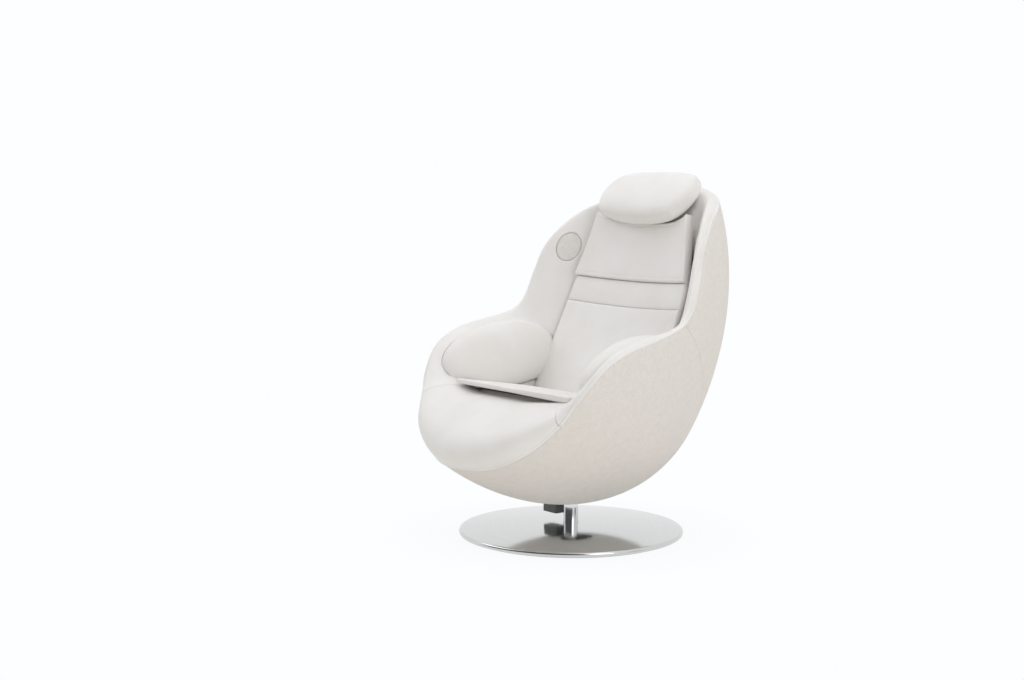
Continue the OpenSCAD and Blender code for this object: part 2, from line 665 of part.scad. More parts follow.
// How far a liner or the lip ends before its seam, in entries of the rim
seam_share = 0.012;
module front_lip() {
    function end_share(i) = abs(i) < lip_steps ? 1 : 1 - seam_share;
    us = [for (i = [-lip_steps:lip_steps]) i * lip_knot / lip_steps * end_share(i)];
    vs = [for (j = [0:liner_v]) j / liner_v];
    color("ivory") thick_sheet(
        [for (u = us) [for (v = vs) flip(liner_back(abs(u), v), u < 0 ? -1 : 1)]],
        [for (u = us) [for (v = vs) flip(liner_point(abs(u), v), u < 0 ? -1 : 1)]]);
}
grille_u = 12.4;
grille_v = 0.6;
grille_t = 3;
driver_r = 26;
driver_h = 18;
driver_tip_share = 0.6;
module on_side(side) {
    mirror([side < 0 ? 1 : 0, 0, 0]) children();
}
module at_grille() {
    p = liner_point(grille_u, grille_v);
    n = liner_normal(grille_u, grille_v);
    translate(p) rotate([0, acos(n.z), atan2(n.y, n.x)]) children();
}
module liner(side) {
    on_side(side) difference() {
        liner_sheet(lip_knot, knot_n, liner_steps);
        bolster(1, gap);
        at_grille() translate([0, 0, -grille_t]) cylinder(h = 4 * grille_t, r = grille_d / 2 + gap, $fn = 48);
        at_grille() translate([0, 0, -2 * driver_h]) cylinder(h = 2 * driver_h, r = driver_r + gap, $fn = 48);
    }
}
module liner_left() {
    color("ivory") liner(1);
}
module liner_right() {
    color("ivory") liner(-1);
}
module grille(side) {
    color("antiquewhite") on_side(side) at_grille() translate([0, 0, -grille_t + gap])
        cylinder(h = grille_t, r = grille_d / 2, $fn = 48);
}
module driver(side) {
    color("dimgray") on_side(side) at_grille() translate([0, 0, -grille_t - driver_h])
        cylinder(h = driver_h, r1 = driver_r * driver_tip_share, r2 = driver_r, $fn = 48);
}
module grille_left() {
    grille(1);
}
module grille_right() {
    grille(-1);
}
module driver_left() {
    driver(1);
}
module driver_right() {
    driver(-1);
}

// Back mat: a dished pad that follows one curve from the crease to its top. The curve's pulls
// are shares of the way between its ends, along Y and up.
mat_pull_shares = [[0, 0], [0.52, 0.38], [0.9, 0.63], [1, 1]];
// Share of the mat's length over which its dish grows from nothing
dish_rise_share = 0.3;
function mat_curve(s) =
    let(p = [for (k = mat_pull_shares) [lerp(crease_y, mat_top_y, k[0]), lerp(crease_z, mat_top_z, k[1])]])
    bezier(p[0], p[1], p[2], p[3], s);
function mat_normal(s) =
    let(along = unit(mat_curve(s + probe) - mat_curve(s - probe)))
    [-along[1], along[0]];
function mat_w(s) = s < 0.5 ? lerp(mat_foot_w, mat_band_w, 2 * s) : lerp(mat_band_w, mat_top_w, 2 * s - 1);
function mat_point(x_share, s, h) =
    let(rise = min(max(s / dish_rise_share, 0), 1), dish = mat_dish * rise ^ 2 * (3 - 2 * rise))
    let(p = mat_curve(s) + mat_normal(s) * (h - dish * (1 - x_share ^ 2)))
    [x_share * mat_w(s), p[0], p[1]];
mat_cols = 12;
// Panel of the mat between two shares of its length. At its side edges the upper end runs on by
// corner, and the front stands proud of the curve.
module mat_panel(first, last, rows, proud = 0, corner = 0) {
    us = [for (i = [0:rows]) ease(i, rows)];
    vs = [for (j = [0:mat_cols]) ease(j, mat_cols)];
    puff = mat_t * mat_puff_share;
    function place(u, v) = lerp(first, last + corner * v ^ 4, (u + 1) / 2);
    function height(u, v) = proud + puff * (crown(u, v, 6) - 1);
    color("ivory") thick_sheet([for (u = us) [for (v = vs) mat_point(v, place(u, v), height(u, v))]],
        [for (u = us) [for (v = vs) mat_point(v, place(u, v), -mat_t)]]);
}
mat_seam_shares = [-0.03, 0.42, 0.55, 0.835];
mat_corner_share = 0.05;
mat_puff_share = 1 / 3;
mat_proud = 8;
half_seam_share = 0.0003;
module mat_lower() {
    color("ivory") difference() {
        mat_panel(mat_seam_shares[0], mat_seam_shares[1] - half_seam_share, 10);
        for (s = [-1, 1]) bolster(s, gap);
    }
}
module mat_band() {
    mat_panel(mat_seam_shares[1] + half_seam_share, mat_seam_shares[2] - half_seam_share, 6);
}
module mat_upper() {
    mat_panel(mat_seam_shares[2] + half_seam_share, mat_seam_shares[3], 12, mat_proud, mat_corner_share);
}

// Head pillow and its strap over the crown
// The pillow's middle lies in front of the crown and below it
pillow_front = 164.63;
pillow_below = 18.43;
pillow_lean = 41;
pillow_dish = 9;
pillow_seam_share = 1 / 3;
pillow_round_share = 0.6;
pillow_steps = 14;
module head_pillow() {
    color("ivory") translate([0, crown.y - pillow_front, crown.z - pillow_below])
        rotate([pillow_lean, 0, 0])
        pad(pillow_w / 2, pillow_h / 2, pillow_t / 2, pillow_t * pillow_seam_share, pillow_round_share, 3,
            pillow_steps, pillow_dish);
}
strap_half = 6;
strap_t = 3;
// Step between the strap's columns, in entries of the rim
strap_share = 0.1;
strap_last = 5;
module pillow_strap() {
    us = [for (i = [-strap_half:strap_half]) i * strap_share];
    vs = [for (j = [1:strap_last]) j / liner_v];
    function point(u, v, height) =
        flip(liner_point(knot_n - abs(u), v) + liner_normal(knot_n - abs(u), v) * height, u > 0 ? -1 : 1);
    color("ivory") thick_sheet([for (u = us) [for (v = vs) point(u, v, 2 * gap)]],
        [for (u = us) [for (v = vs) point(u, v, 2 * gap + strap_t)]]);
}

// Under-seat frame of the shell
pivot_wall = 4;
boss_wall = 8;
frame_nose = 18;
frame_front_y = rod_y - frame_nose;
frame_back_y = 74;
frame_bar_t = 6;
frame_depth = 26;
module shell_frame() {
    function top(y) = pan_under_z(y) - gap;
    boss_r = axle_r + pivot_wall + boss_wall;
    color("dimgray") {
        for (s = [-1, 1]) plate_yz(s > 0 ? plate_x : -plate_x - plate_t, plate_t) difference() {
            union() {
                polygon([[frame_front_y, top(frame_front_y)],
                    [frame_front_y, top(frame_front_y) - frame_depth], [-boss_r, axle_z], [boss_r, axle_z],
                    [frame_back_y, top(frame_back_y) - frame_depth], [frame_back_y, top(frame_back_y)]]);
                translate([0, axle_z]) circle(r = boss_r, $fn = round_fn);
            }
            translate([0, axle_z]) circle(r = axle_r + pivot_wall, $fn = round_fn);
        }
        for (y = [frame_front_y, frame_back_y - frame_bar_t])
            translate([-plate_x - plate_t / 2, y, top(y) - frame_depth])
                cube([2 * plate_x + plate_t, frame_bar_t, frame_depth - frame_bar_t]);
        for (s = [-1, 1]) plate_yz(s > 0 ? lug_x : -lug_x - lug_t, lug_t) difference() {
            union() {
                polygon([[frame_front_y + cut, top(frame_front_y) - frame_bar_t], [rod_y, rod_z + lug_r],
                    [rod_y, rod_z - lug_r], [frame_front_y + cut, top(frame_front_y) - frame_depth]]);
                translate([rod_y, rod_z]) circle(r = lug_r, $fn = round_fn);
            }
            translate([rod_y, rod_z]) circle(r = act_pin_r + run, $fn = round_fn);
        }
    }
}
module pivot_bushes() {
    first = ear_x + ear_t + gap;
    color("khaki") for (s = [-1, 1]) difference() {
        rod_x(s > 0 ? first : -plate_x - plate_t, plate_x + plate_t - first, 0, axle_z, axle_r + pivot_wall);
        rod_x(-axle_half_l, 2 * axle_half_l, 0, axle_z, axle_r + run);
    }
}

// Massage mechanism, in the frame of the rails: z runs up them and -y points to the sitter
rail_behind = 84;
rail_lift = 30;
rail_foot_y = crease_y + mat_t + rail_behind;
rail_foot_z = crease_z + rail_lift;
module in_back() {
    translate([0, rail_foot_y, rail_foot_z]) rotate([rail_lean - 90, 0, 0]) children();
}
roller_r = roller_d / 2;
knead_r = knead_d / 2;
screw_r = screw_d / 2;
arm_reach = 47;
shaft_y = roller_r + arm_reach;
rail_y = 91;
rail_inner = 30;
rail_t = 3;
rail_depth = 20;
rail_play = 1.5;
up_dir = [0, cos(rail_lean), sin(rail_lean)];
back_dir_of_rails = [0, sin(rail_lean), -cos(rail_lean)];
// The rails end where their outer rear edge comes near the tub's wall
function in_wall(v) =
    [v.x / half_x(rim_t + rail_play), v * long_dir / half_long(1, rim_t + rail_play),
        v * deep_dir / half_deep(1, rim_t + rail_play)];
rail_edge = [rail_x + rail_t, rail_foot_y, rail_foot_z] + back_dir_of_rails * (rail_y + rail_inner + rail_t);
rail_way = in_wall(up_dir);
rail_start = in_wall(rail_edge - shell_c);
rail_top = floor((sqrt((rail_start * rail_way) ^ 2 - (rail_way * rail_way) * (rail_start * rail_start - 1))
    - rail_start * rail_way) / (rail_way * rail_way));
rail_z = rail_top - rail_l;
bulk_t = 8;
shoe_l = 30;
shoe_z = 44;
side_x = 100;
side_t = 4;
frame_y = 106;
frame_t = 4;
screw_y = 134;
nut_half = 16;
arm_x = 57;
arm_t = 10;
arm_hub_r = 17;
arm_tip_r = 9;
tip_pin_r = 5;
bearing_r = 13;
bearing_t = 8;
gear_half = 24;
motor_z = 57;
motor_r = 20;
motor_half = 46;
// The carriage rests at the foot of the rails, with its lower shoes just above their ends
rest_gap = 11;
carriage_z = rail_z + rest_gap + shoe_z + shoe_l / 2;
module rod_in_back(x, l, y, z, r) {
    in_back() rod_x(x, l, y, z, r);
}
module guide_rail(side) {
    first = side > 0 ? rail_x - rail_depth : -rail_x - rail_t;
    web = side > 0 ? rail_x : -rail_x - rail_t;
    color("silver") in_back() {
        translate([web, rail_y - rail_t, rail_z]) cube([rail_t, rail_inner + 2 * rail_t, rail_l]);
        translate([first, rail_y - rail_t, rail_z]) cube([rail_depth + rail_t, rail_t, rail_l]);
        translate([first, rail_y + rail_inner, rail_z]) cube([rail_depth + rail_t, rail_t, rail_l]);
    }
}
module guide_rail_left() {
    guide_rail(1);
}
module guide_rail_right() {
    guide_rail(-1);
}
module bulkhead(z) {
    difference() {
        intersection() {
            in_back() translate([-shell_half_w, rail_y - 2 * rail_t, z])
                cube([2 * shell_half_w, shell_deep, bulk_t]);
            shell_core(rim_t + gap);
        }
        in_back() translate([0, screw_y, z - cut])
            cylinder(h = bulk_t + 2 * cut, r = screw_r + run, $fn = round_fn);
    }
}
module crossbar_lower() {
    color("burlywood") bulkhead(rail_z - bulk_t - gap);
}
module crossbar_upper() {
    color("burlywood") bulkhead(rail_top + gap);
}
lift_l = 60;
lift_r = 24;
module lead_screw() {
    color("silver") in_back() translate([0, screw_y, rail_z - bulk_t - lift_l / 2])
        cylinder(h = rail_l + 2 * bulk_t + lift_l / 2, r = screw_r, $fn = round_fn);
}
module lift_motor() {
    top = rail_z - bulk_t - 2 * gap;
    color("dimgray") in_back() difference() {
        translate([0, screw_y, top - lift_l]) cylinder(h = lift_l, r = lift_r, $fn = round_fn);
        translate([0, screw_y, top - lift_l / 2 - gap])
            cylinder(h = lift_l, r = screw_r + run, $fn = round_fn);
    }
}
module carriage_frame() {
    side_y = shaft_y - bearing_r - side_t;
    color("dimgray") in_back() translate([0, 0, carriage_z]) difference() {
        union() {
            translate([-side_x - side_t, frame_y, -shoe_z - shoe_l / 2])
                cube([2 * (side_x + side_t), frame_t, 2 * shoe_z + shoe_l]);
            for (x = [-side_x - side_t, side_x]) translate([x, side_y, -shoe_z - shoe_l / 2])
                cube([side_t, rail_y + rail_inner - gap - side_y, 2 * shoe_z + shoe_l]);
            translate([-nut_half, frame_y + frame_t, -nut_half])
                cube([2 * nut_half, screw_y + nut_half - frame_y - frame_t, 2 * nut_half]);
        }
        translate([0, screw_y, -nut_half - cut])
            cylinder(h = 2 * nut_half + 2 * cut, r = screw_r + run, $fn = round_fn);
        rod_x(-side_x - 2 * side_t, 2 * side_x + 4 * side_t, shaft_y, 0, bearing_r);
    }
}
module guide_shoes() {
    first = side_x + side_t;
    color("whitesmoke") in_back() translate([0, 0, carriage_z])
        for (s = [-1, 1]) for (z = [-shoe_z, shoe_z])
            translate([s > 0 ? first : -rail_x + gap, rail_y + gap, z - shoe_l / 2])
                cube([rail_x - gap - first, rail_inner - 2 * gap, shoe_l]);
}
module shaft_bearings() {
    first = side_x - side_t / 2;
    color("silver") in_back() translate([0, 0, carriage_z]) for (s = [-1, 1]) difference() {
        rod_x(s > 0 ? first : -first - bearing_t, bearing_t, shaft_y, 0, bearing_r);
        rod_x(-side_x - bearing_t - cut, 2 * (side_x + bearing_t + cut), shaft_y, 0, knead_r + run);
    }
}
module knead_gearbox() {
    color("dimgray") in_back() translate([0, 0, carriage_z]) difference() {
        union() {
            rod_x(-gear_half, 2 * gear_half, shaft_y, 0, frame_y - gap - shaft_y);
            translate([-gear_half, shaft_y, -gear_half])
                cube([2 * gear_half, frame_y - gap - shaft_y, motor_z - motor_r - gap + gear_half]);
        }
        rod_x(-gear_half - cut, 2 * (gear_half + cut), shaft_y, 0, knead_r + run);
    }
}
module knead_motor() {
    color("gray")
        rod_in_back(-motor_half, 2 * motor_half, frame_y - gap - motor_r, carriage_z + motor_z, motor_r);
}
module knead_shaft() {
    half = side_x - side_t / 2 + bearing_t;
    color("silver") rod_in_back(-half, 2 * half, shaft_y, carriage_z, knead_r);
}
module arm(side) {
    tip = [roller_r, roller_gap / 2];
    hub = [shaft_y, 0];
    x = side > 0 ? arm_x : -arm_x - arm_t;
    color("whitesmoke") in_back() translate([0, 0, carriage_z]) {
        plate_yz(x, arm_t) difference() {
            union() {
                translate(hub) circle(r = arm_hub_r, $fn = round_fn);
                for (s = [-1, 1]) {
                    limb(hub, [tip[0], s * tip[1]], 2 * arm_tip_r);
                    translate([tip[0], s * tip[1]]) circle(r = arm_tip_r, $fn = round_fn);
                }
            }
            translate(hub) circle(r = knead_r + run, $fn = round_fn);
        }
        pin_l = arm_t + roller_w + 4 * gap;
        for (s = [-1, 1]) rod_x(side > 0 ? arm_x : -arm_x - pin_l, pin_l, tip[0], s * tip[1], tip_pin_r);
    }
}
module arm_left() {
    arm(1);
}
module arm_right() {
    arm(-1);
}
roller_nose = 5;
module roller(side, level) {
    flat_r = roller_r - roller_nose;
    bore_r = tip_pin_r + run;
    first = arm_x + arm_t + 2 * gap;
    color("sienna") in_back()
        translate([side > 0 ? first : -first - roller_w, roller_r, carriage_z + level * roller_gap / 2])
        rotate([0, 90, 0]) rotate_extrude($fn = round_fn)
            polygon([[bore_r, 0], [flat_r, 0], [roller_r, roller_nose], [roller_r, roller_w - roller_nose],
                [flat_r, roller_w], [bore_r, roller_w]]);
}
module roller_upper_left() {
    roller(1, 1);
}
module roller_lower_left() {
    roller(1, -1);
}
module roller_upper_right() {
    roller(-1, 1);
}
module roller_lower_right() {
    roller(-1, -1);
}

// Electrics
unit_x = 92;
unit_w = 90;
unit_l = 120;
unit_h = 34;
module control_unit() {
    color("dimgray") in_seat() translate([unit_x, -seat_run / 2, -pan_depth - gap - unit_h])
        cube([unit_w, unit_l, unit_h]);
}
box_x = [-90, -34];
box_y = [-24, 8];
box_drop = 34.4;
box_z = belly_z - box_drop;
// How far the block is drawn up, before the shell's underside trims it
box_head = 4;
box_r = 5;
inlet_w = 24;
inlet_h = 17;
inlet_depth = 20;
inlet_lift = 17;
inlet_z = box_z + inlet_lift;
inlet_x = -54;
module box_block() {
    width = box_x[1] - box_x[0];
    depth = box_y[1] - box_y[0];
    height = box_drop + box_head;
    translate([box_x[0], box_y[0], box_z]) {
        translate([box_r, 0, 0]) cube([width - 2 * box_r, depth, height]);
        translate([0, box_r, 0]) cube([width, depth - 2 * box_r, height]);
        for (x = [box_r, width - box_r]) for (y = [box_r, depth - box_r])
            translate([x, y, 0]) cylinder(h = height, r = box_r, $fn = 32);
    }
}
switch_r = 9;
switch_w = 12;
switch_in = 5;
switch_tilt = 7;
switch_proud = 2;
module at_switch() {
    translate([box_x[0] + switch_in, (box_y[0] + box_y[1]) / 2, inlet_z]) children();
}
module power_box() {
    color("darkslategray") difference() {
        box_block();
        shell_core(-seat_gap);
        translate([inlet_x - inlet_w / 2 - gap, box_y[1] - inlet_depth, inlet_z - inlet_h / 2 - gap])
            cube([inlet_w + 2 * gap, inlet_depth + cut, inlet_h + 2 * gap]);
        at_switch() rotate([90, 0, 0])
            cylinder(h = switch_w + 2 * gap, r = switch_r + gap, center = true, $fn = round_fn);
    }
}
pin_w = 2;
pin_h = 5;
pin_l = 10;
inlet_wall = 2;
inlet_base = 5;
module mains_inlet() {
    color("black") translate([inlet_x, box_y[1], inlet_z]) {
        difference() {
            translate([-inlet_w / 2, -inlet_depth + gap, -inlet_h / 2])
                cube([inlet_w, inlet_depth - gap, inlet_h]);
            translate([-inlet_w / 2 + inlet_wall, -inlet_depth + inlet_base, -inlet_h / 2 + inlet_wall])
                cube([inlet_w - 2 * inlet_wall, inlet_depth, inlet_h - 2 * inlet_wall]);
        }
        for (k = [-1, 0, 1])
            translate([k * inlet_w / 4 - pin_w / 2, -inlet_depth + inlet_base - cut, -pin_h / 2])
                cube([pin_w, pin_l, pin_h]);
    }
}
module rocker_switch() {
    front = switch_in + switch_proud;
    color("black") at_switch() rotate([90, 0, 0]) difference() {
        cylinder(h = switch_w, r = switch_r, center = true, $fn = round_fn);
        for (s = [-1, 1]) rotate(s * switch_tilt)
            translate([-front - switch_r, s > 0 ? -switch_r * 2 : 0, -switch_w])
                cube([switch_r, 2 * switch_r, 2 * switch_w]);
    }
}

base_disc();
base_ballast();
base_glide();
column();
base_bolts();
thrust_washer();
column_screw();
swivel_bush();
swivel_hub();
tilt_bracket();
tilt_axle();
axle_clips();
actuator_body();
actuator_rod();
actuator_pin();
shell_tub();
cover_front();
cover_back();
shell_frame();
pivot_bushes();
seat_pan();
seat_foam();
seat_pad();
front_lip();
liner_left();
liner_right();
bolster_left();
bolster_right();
mat_lower();
mat_band();
mat_upper();
grille_left();
grille_right();
driver_left();
driver_right();
guide_rail_left();
guide_rail_right();
crossbar_lower();
crossbar_upper();
lead_screw();
lift_motor();
carriage_frame();
guide_shoes();
shaft_bearings();
knead_gearbox();
knead_motor();
knead_shaft();
arm_left();
arm_right();
roller_upper_left();
roller_lower_left();
roller_upper_right();
roller_lower_right();
control_unit();
power_box();
mains_inlet();
rocker_switch();
pillow_strap();
head_pillow();
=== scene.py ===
import json
import math
import bpy
import numpy as np
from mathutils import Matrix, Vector, noise
from mathutils.bvhtree import BVHTree


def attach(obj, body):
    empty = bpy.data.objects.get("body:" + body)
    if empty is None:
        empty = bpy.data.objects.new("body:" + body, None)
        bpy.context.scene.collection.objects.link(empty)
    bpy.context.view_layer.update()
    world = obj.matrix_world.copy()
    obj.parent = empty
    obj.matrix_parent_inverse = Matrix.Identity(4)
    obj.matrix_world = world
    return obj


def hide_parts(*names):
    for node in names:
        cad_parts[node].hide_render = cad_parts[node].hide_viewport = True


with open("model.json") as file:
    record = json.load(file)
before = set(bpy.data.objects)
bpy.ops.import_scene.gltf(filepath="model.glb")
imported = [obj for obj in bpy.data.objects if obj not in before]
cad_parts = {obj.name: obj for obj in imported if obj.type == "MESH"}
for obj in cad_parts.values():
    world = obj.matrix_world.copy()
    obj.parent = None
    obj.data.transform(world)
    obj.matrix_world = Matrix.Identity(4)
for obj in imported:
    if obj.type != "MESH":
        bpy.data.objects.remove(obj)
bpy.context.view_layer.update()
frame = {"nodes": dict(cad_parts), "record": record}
nodes = frame["nodes"]
scene = bpy.context.scene

# The shell's shape, in millimetres: a lopsided egg whose long axis leans back
HALF_W = 365.0
RISE = 697.0
DROP = 431.0
DEEP_R = 570.0
OPEN_R = 300.0
LEAN = math.radians(53.6)
BELLY_Z = 84.4
BELLY_LEAN = math.radians(15.35)
SIDE = np.array([1.0, 0.0, 0.0])
LONG = np.array([0.0, math.cos(LEAN), math.sin(LEAN)])
DEEP = np.array([0.0, math.sin(LEAN), -math.cos(LEAN)])
MOUTH = -DEEP
BELLY = np.array([0.0, math.sin(BELLY_LEAN), -math.cos(BELLY_LEAN)])
BACK = np.array([0.0, -BELLY[2], BELLY[1]])
# The oval slot under the belly, with room before the column and, through the whole recline, behind it
AXLE_Z = 248.0
RECLINE = math.radians(15)
COLUMN_R = 20.0
GAP_FRONT = 10
GAP_BACK = 8
SLOT_W = 33.0
SLOT_FRONT = COLUMN_R + GAP_FRONT
SLOT_BACK = COLUMN_R + GAP_BACK + (AXLE_Z - BELLY_Z) * math.sin(RECLINE)
SLOT_MID = (SLOT_BACK - SLOT_FRONT) / 2
SLOT_L = (SLOT_BACK + SLOT_FRONT) / 2
# Seat, back mat and tub
SEAT_HALF = 240.0
SEAT_FRONT_Y = -214.0
SEAT_FRONT_Z = 419.0
CREASE_Y = 60.0
CREASE_Z = 370.0
MAT_T = 24.0
MAT_DISH = 22.0
MAT_FOOT_W = 234.0
MAT_BAND_W = 221.0
MAT_TOP_W = 158.0
# The mat's top, inwards and up from the crown
MAT_TOP_IN = 188.5
MAT_TOP_UP = 16.8
# Control points of the mat's curve, as shares of its run and rise
MAT_PULLS = np.array([[0, 0], [.52, .38], [.9, .63], [1, 1]])
# Back of the leather roll: off the tub at the rim, off it some degrees further down, and under the well
TUB_INSET = 15.4
ROLL_GAP = .8
WALL_GAP = 12
WALL_DOWN = 10
WELL_UNDER = 20
# Rim: direction round the belly and angle up from it, from the front foot to the crown
RIM = np.array([[-90, 51], [-70, 50.4], [-50, 55], [-34, 63.3], [-24, 71.9], [-12, 80], [0, 82.6],
                [14, 82.3], [25, 82.1], [32.5, 82.9], [39, 86.7], [44.5, 94.2], [50, 101.6], [60, 106],
                [74, 105.6], [82, 105.2], [90, 105]], float)
# Edge of the well for the same entries, as shares of its width, run and rise
WELL = np.array([[0, .1, .012], [.36, .1, .012], [.64, .1, .012], [.85, .13, .012], [1.02, .19, .008],
                 [1.03, .28, .008], [1.02, .38, .008], [1.01, .5, .006], [.985, .623, .01],
                 [.96, .722, .126], [.937, .81, .27], [.908, .885, .4], [.875, .953, .523],
                 [.77, 1.015, .688], [.64, 1.06, .838], [.44, 1.09, .862], [0, 1.1, .865]])
# Leather roll for the same entries: pull off the rim, tuck, pull and rise at the well, and how far that
# rise leans from straight up to the mouth's way
ROLL = np.array([[118, 0, 130, 8, 0], [118, 0, 130, 8, 0], [108, 0, 115, 8, 0], [70, 12, 90, 25, 0],
                 [44, 24, 120, 50, 0], [33, 30, 170, 70, 0], [33, 30, 190, 76, 0], [33, 30, 190, 76, 0],
                 [40, 24, 150, 66, .2], [56, 14, 80, 45, .6], [76, 4, 65, 30, 1], [85, 0, 60, 26, 1],
                 [85, 6, 60, 25, 1], [80, 26, 60, 26, 1], [55, 36, 50, 36, .6], [48, 36, 50, 48, .2],
                 [44, 36, 50, 50, 0]], float)
LAST = len(RIM) - 1
# Entries where lip and liner meet and where the covers meet, and the degrees that their seam drifts back
LIP_KNOT = 3
SEAM_KNOT = 9
SEAM_DRIFT = 42.5


def unit(v):
    return v / np.linalg.norm(v, axis=-1, keepdims=True)


def spline(knots, u):
    """Smooth curve through the rows of knots, counted by u from 0."""
    u = np.asarray(u, float)
    i = np.clip(np.floor(u).astype(int), 0, len(knots) - 2)
    f = (u - i)[..., None]
    a, b, c, d = (knots[np.clip(i + step, 0, len(knots) - 1)] for step in (-1, 0, 1, 2))
    bend = 2 * a - 5 * b + 4 * c - d
    return .5 * (2 * b + (c - a) * f + bend * f ** 2 + (3 * b - a - 3 * c + d) * f ** 3)


def bezier(a, b, c, d, t):
    return a * (1 - t) ** 3 + b * 3 * t * (1 - t) ** 2 + c * 3 * t ** 2 * (1 - t) + d * t ** 3


def grow(x, start, end):
    """0 up to start and 1 from end on, also where end is the lower of the two."""
    return np.clip((x - start) / (end - start), 0, 1)


def smooth(t):
    return t ** 2 * (3 - 2 * t)


def reach(way, inset=0.0):
    """Distance from the egg's centre to its skin in each direction."""
    along = way @ LONG
    deep = way @ DEEP
    across = np.stack([way[..., 0] / (HALF_W - inset), along / (np.where(along > 0, RISE, DROP) - inset),
                       deep / (np.where(deep > 0, DEEP_R, OPEN_R) - inset)], -1)
    return 1 / np.linalg.norm(across, axis=-1)


BELLY_REACH = float(reach(BELLY))
SHELL_C = np.array([0, 0, BELLY_Z]) - BELLY * BELLY_REACH


def shell_at(turn, lift, inset=0.0):
    """Point of the skin: degrees round the belly's axis, and degrees away from it."""
    turn = np.radians(turn)[..., None]
    lift = np.radians(lift)[..., None]
    way = BELLY * np.cos(lift) + (SIDE * np.cos(turn) + BACK * np.sin(turn)) * np.sin(lift)
    return SHELL_C + way * reach(way, inset)[..., None]


def shell_normal(p):
    way = p - SHELL_C
    along = way @ LONG
    deep = way @ DEEP
    n = SIDE * (way[..., 0] / HALF_W ** 2)[..., None]
    n = n + LONG * (along / np.where(along > 0, RISE, DROP) ** 2)[..., None]
    return unit(n + DEEP * (deep / np.where(deep > 0, DEEP_R, OPEN_R) ** 2)[..., None])


CROWN = shell_at(np.array(90.0), np.array(RIM[-1, 1]))
MAT_TOP_Y = CROWN[1] - MAT_TOP_IN
MAT_TOP_Z = CROWN[2] + MAT_TOP_UP


def slot_angle(turn):
    """Degrees from the belly's axis to the slot's edge."""
    turn = np.radians(turn)
    a = (np.cos(turn) / SLOT_W) ** 2 + (np.sin(turn) / SLOT_L) ** 2
    b = np.sin(turn) * SLOT_MID / SLOT_L ** 2
    c = 1 - (SLOT_MID / SLOT_L) ** 2
    return np.degrees(np.arctan2((b + np.sqrt(b ** 2 + a * c)) / a, BELLY_REACH))


def shell_point(u, t, inset=0.0):
    """Point of the shell: u along the rim's entries, t from the slot under the belly to the rim."""
    rim = spline(RIM, u)
    seam = RIM[SEAM_KNOT, 0]
    angle = rim[..., 0]
    drift = SEAM_DRIFT * np.where(angle > seam, (90 - angle) / (90 - seam), (angle + 90) / (seam + 90))
    turn = angle + drift * (1 - t) ** .85
    low = slot_angle(turn)
    return shell_at(turn, low + (rim[..., 1] - low) * t, inset)


def well_point(u):
    """Point of the well's edge, which goes round the seat and up beside the back mat."""
    share = spline(WELL, u)
    return np.stack([share[..., 0] * SEAT_HALF, SEAT_FRONT_Y + share[..., 1] * (MAT_TOP_Y - SEAT_FRONT_Y),
                     CREASE_Z + share[..., 2] * (MAT_TOP_Z - CREASE_Z)], -1)


def rim_point(u):
    rim = spline(RIM, np.clip(u, 0, LAST))
    return shell_at(rim[..., 0], rim[..., 1])


def roll_frame(u):
    """For an array of u: roll values, rim and well points, ways out and up, and the well edge's ways."""
    roll = spline(ROLL, u)
    rim = rim_point(u)
    well = well_point(u)
    tangent = rim_point(np.minimum(u + .05, LAST)) - rim_point(np.maximum(u - .05, 0))
    tangent[u >= LAST] = [-1, 0, 0]
    tangent[u <= 0] = [1, 0, 0]
    up = unit(np.cross(shell_normal(rim), unit(tangent)))
    up = up * np.where(up @ MOUTH > 0, 1.0, -1.0)[:, None]
    out = rim - well
    out[:, 2] = 0
    out[u >= LAST] = [0, 1, 0]
    out[u <= 0] = [0, -1, 0]
    out = unit(out)
    rise = unit(np.array([0, 0, 1.0]) * (1 - roll[:, 4:5]) + MOUTH * roll[:, 4:5])
    a = np.radians(roll[:, 3:4])
    edge = out * np.cos(a) + rise * np.sin(a)
    under = out * np.sin(a) - rise * np.cos(a)
    parts = (roll, rim, well, out, up, edge, under)
    return [part[:, None, :] for part in parts]


def liner_grid(us, vs):
    """Front of the leather roll, from the rim to the well."""
    roll, rim, well, out, up, edge, _ = roll_frame(us)
    off_rim = rim + up * roll[..., 0:1] - out * roll[..., 1:2]
    return bezier(rim, off_rim, well + edge * roll[..., 2:3], well, vs[None, :, None])


def liner_back_grid(us, vs):
    """Back of the roll: down the tub's wall and in, to under the well's edge."""
    roll, _, well, _, _, edge, under = roll_frame(us)
    angles = spline(RIM, us)
    top = shell_at(angles[:, 0], angles[:, 1], TUB_INSET + ROLL_GAP)[:, None, :]
    wall = shell_at(angles[:, 0], angles[:, 1] - WALL_DOWN, TUB_INSET + WALL_GAP)[:, None, :]
    foot = well + under * WELL_UNDER
    return bezier(top, wall, foot + edge * roll[..., 2:3] / 2, foot, vs[None, :, None])


def mat_curve(s):
    """Side view of the back mat's face, from the crease to its top."""
    rise = np.array([MAT_TOP_Y - CREASE_Y, MAT_TOP_Z - CREASE_Z])
    a, b, c, d = (np.array([CREASE_Y, CREASE_Z]) + rise * pull for pull in MAT_PULLS)
    return bezier(a, b, c, d, np.asarray(s)[..., None])


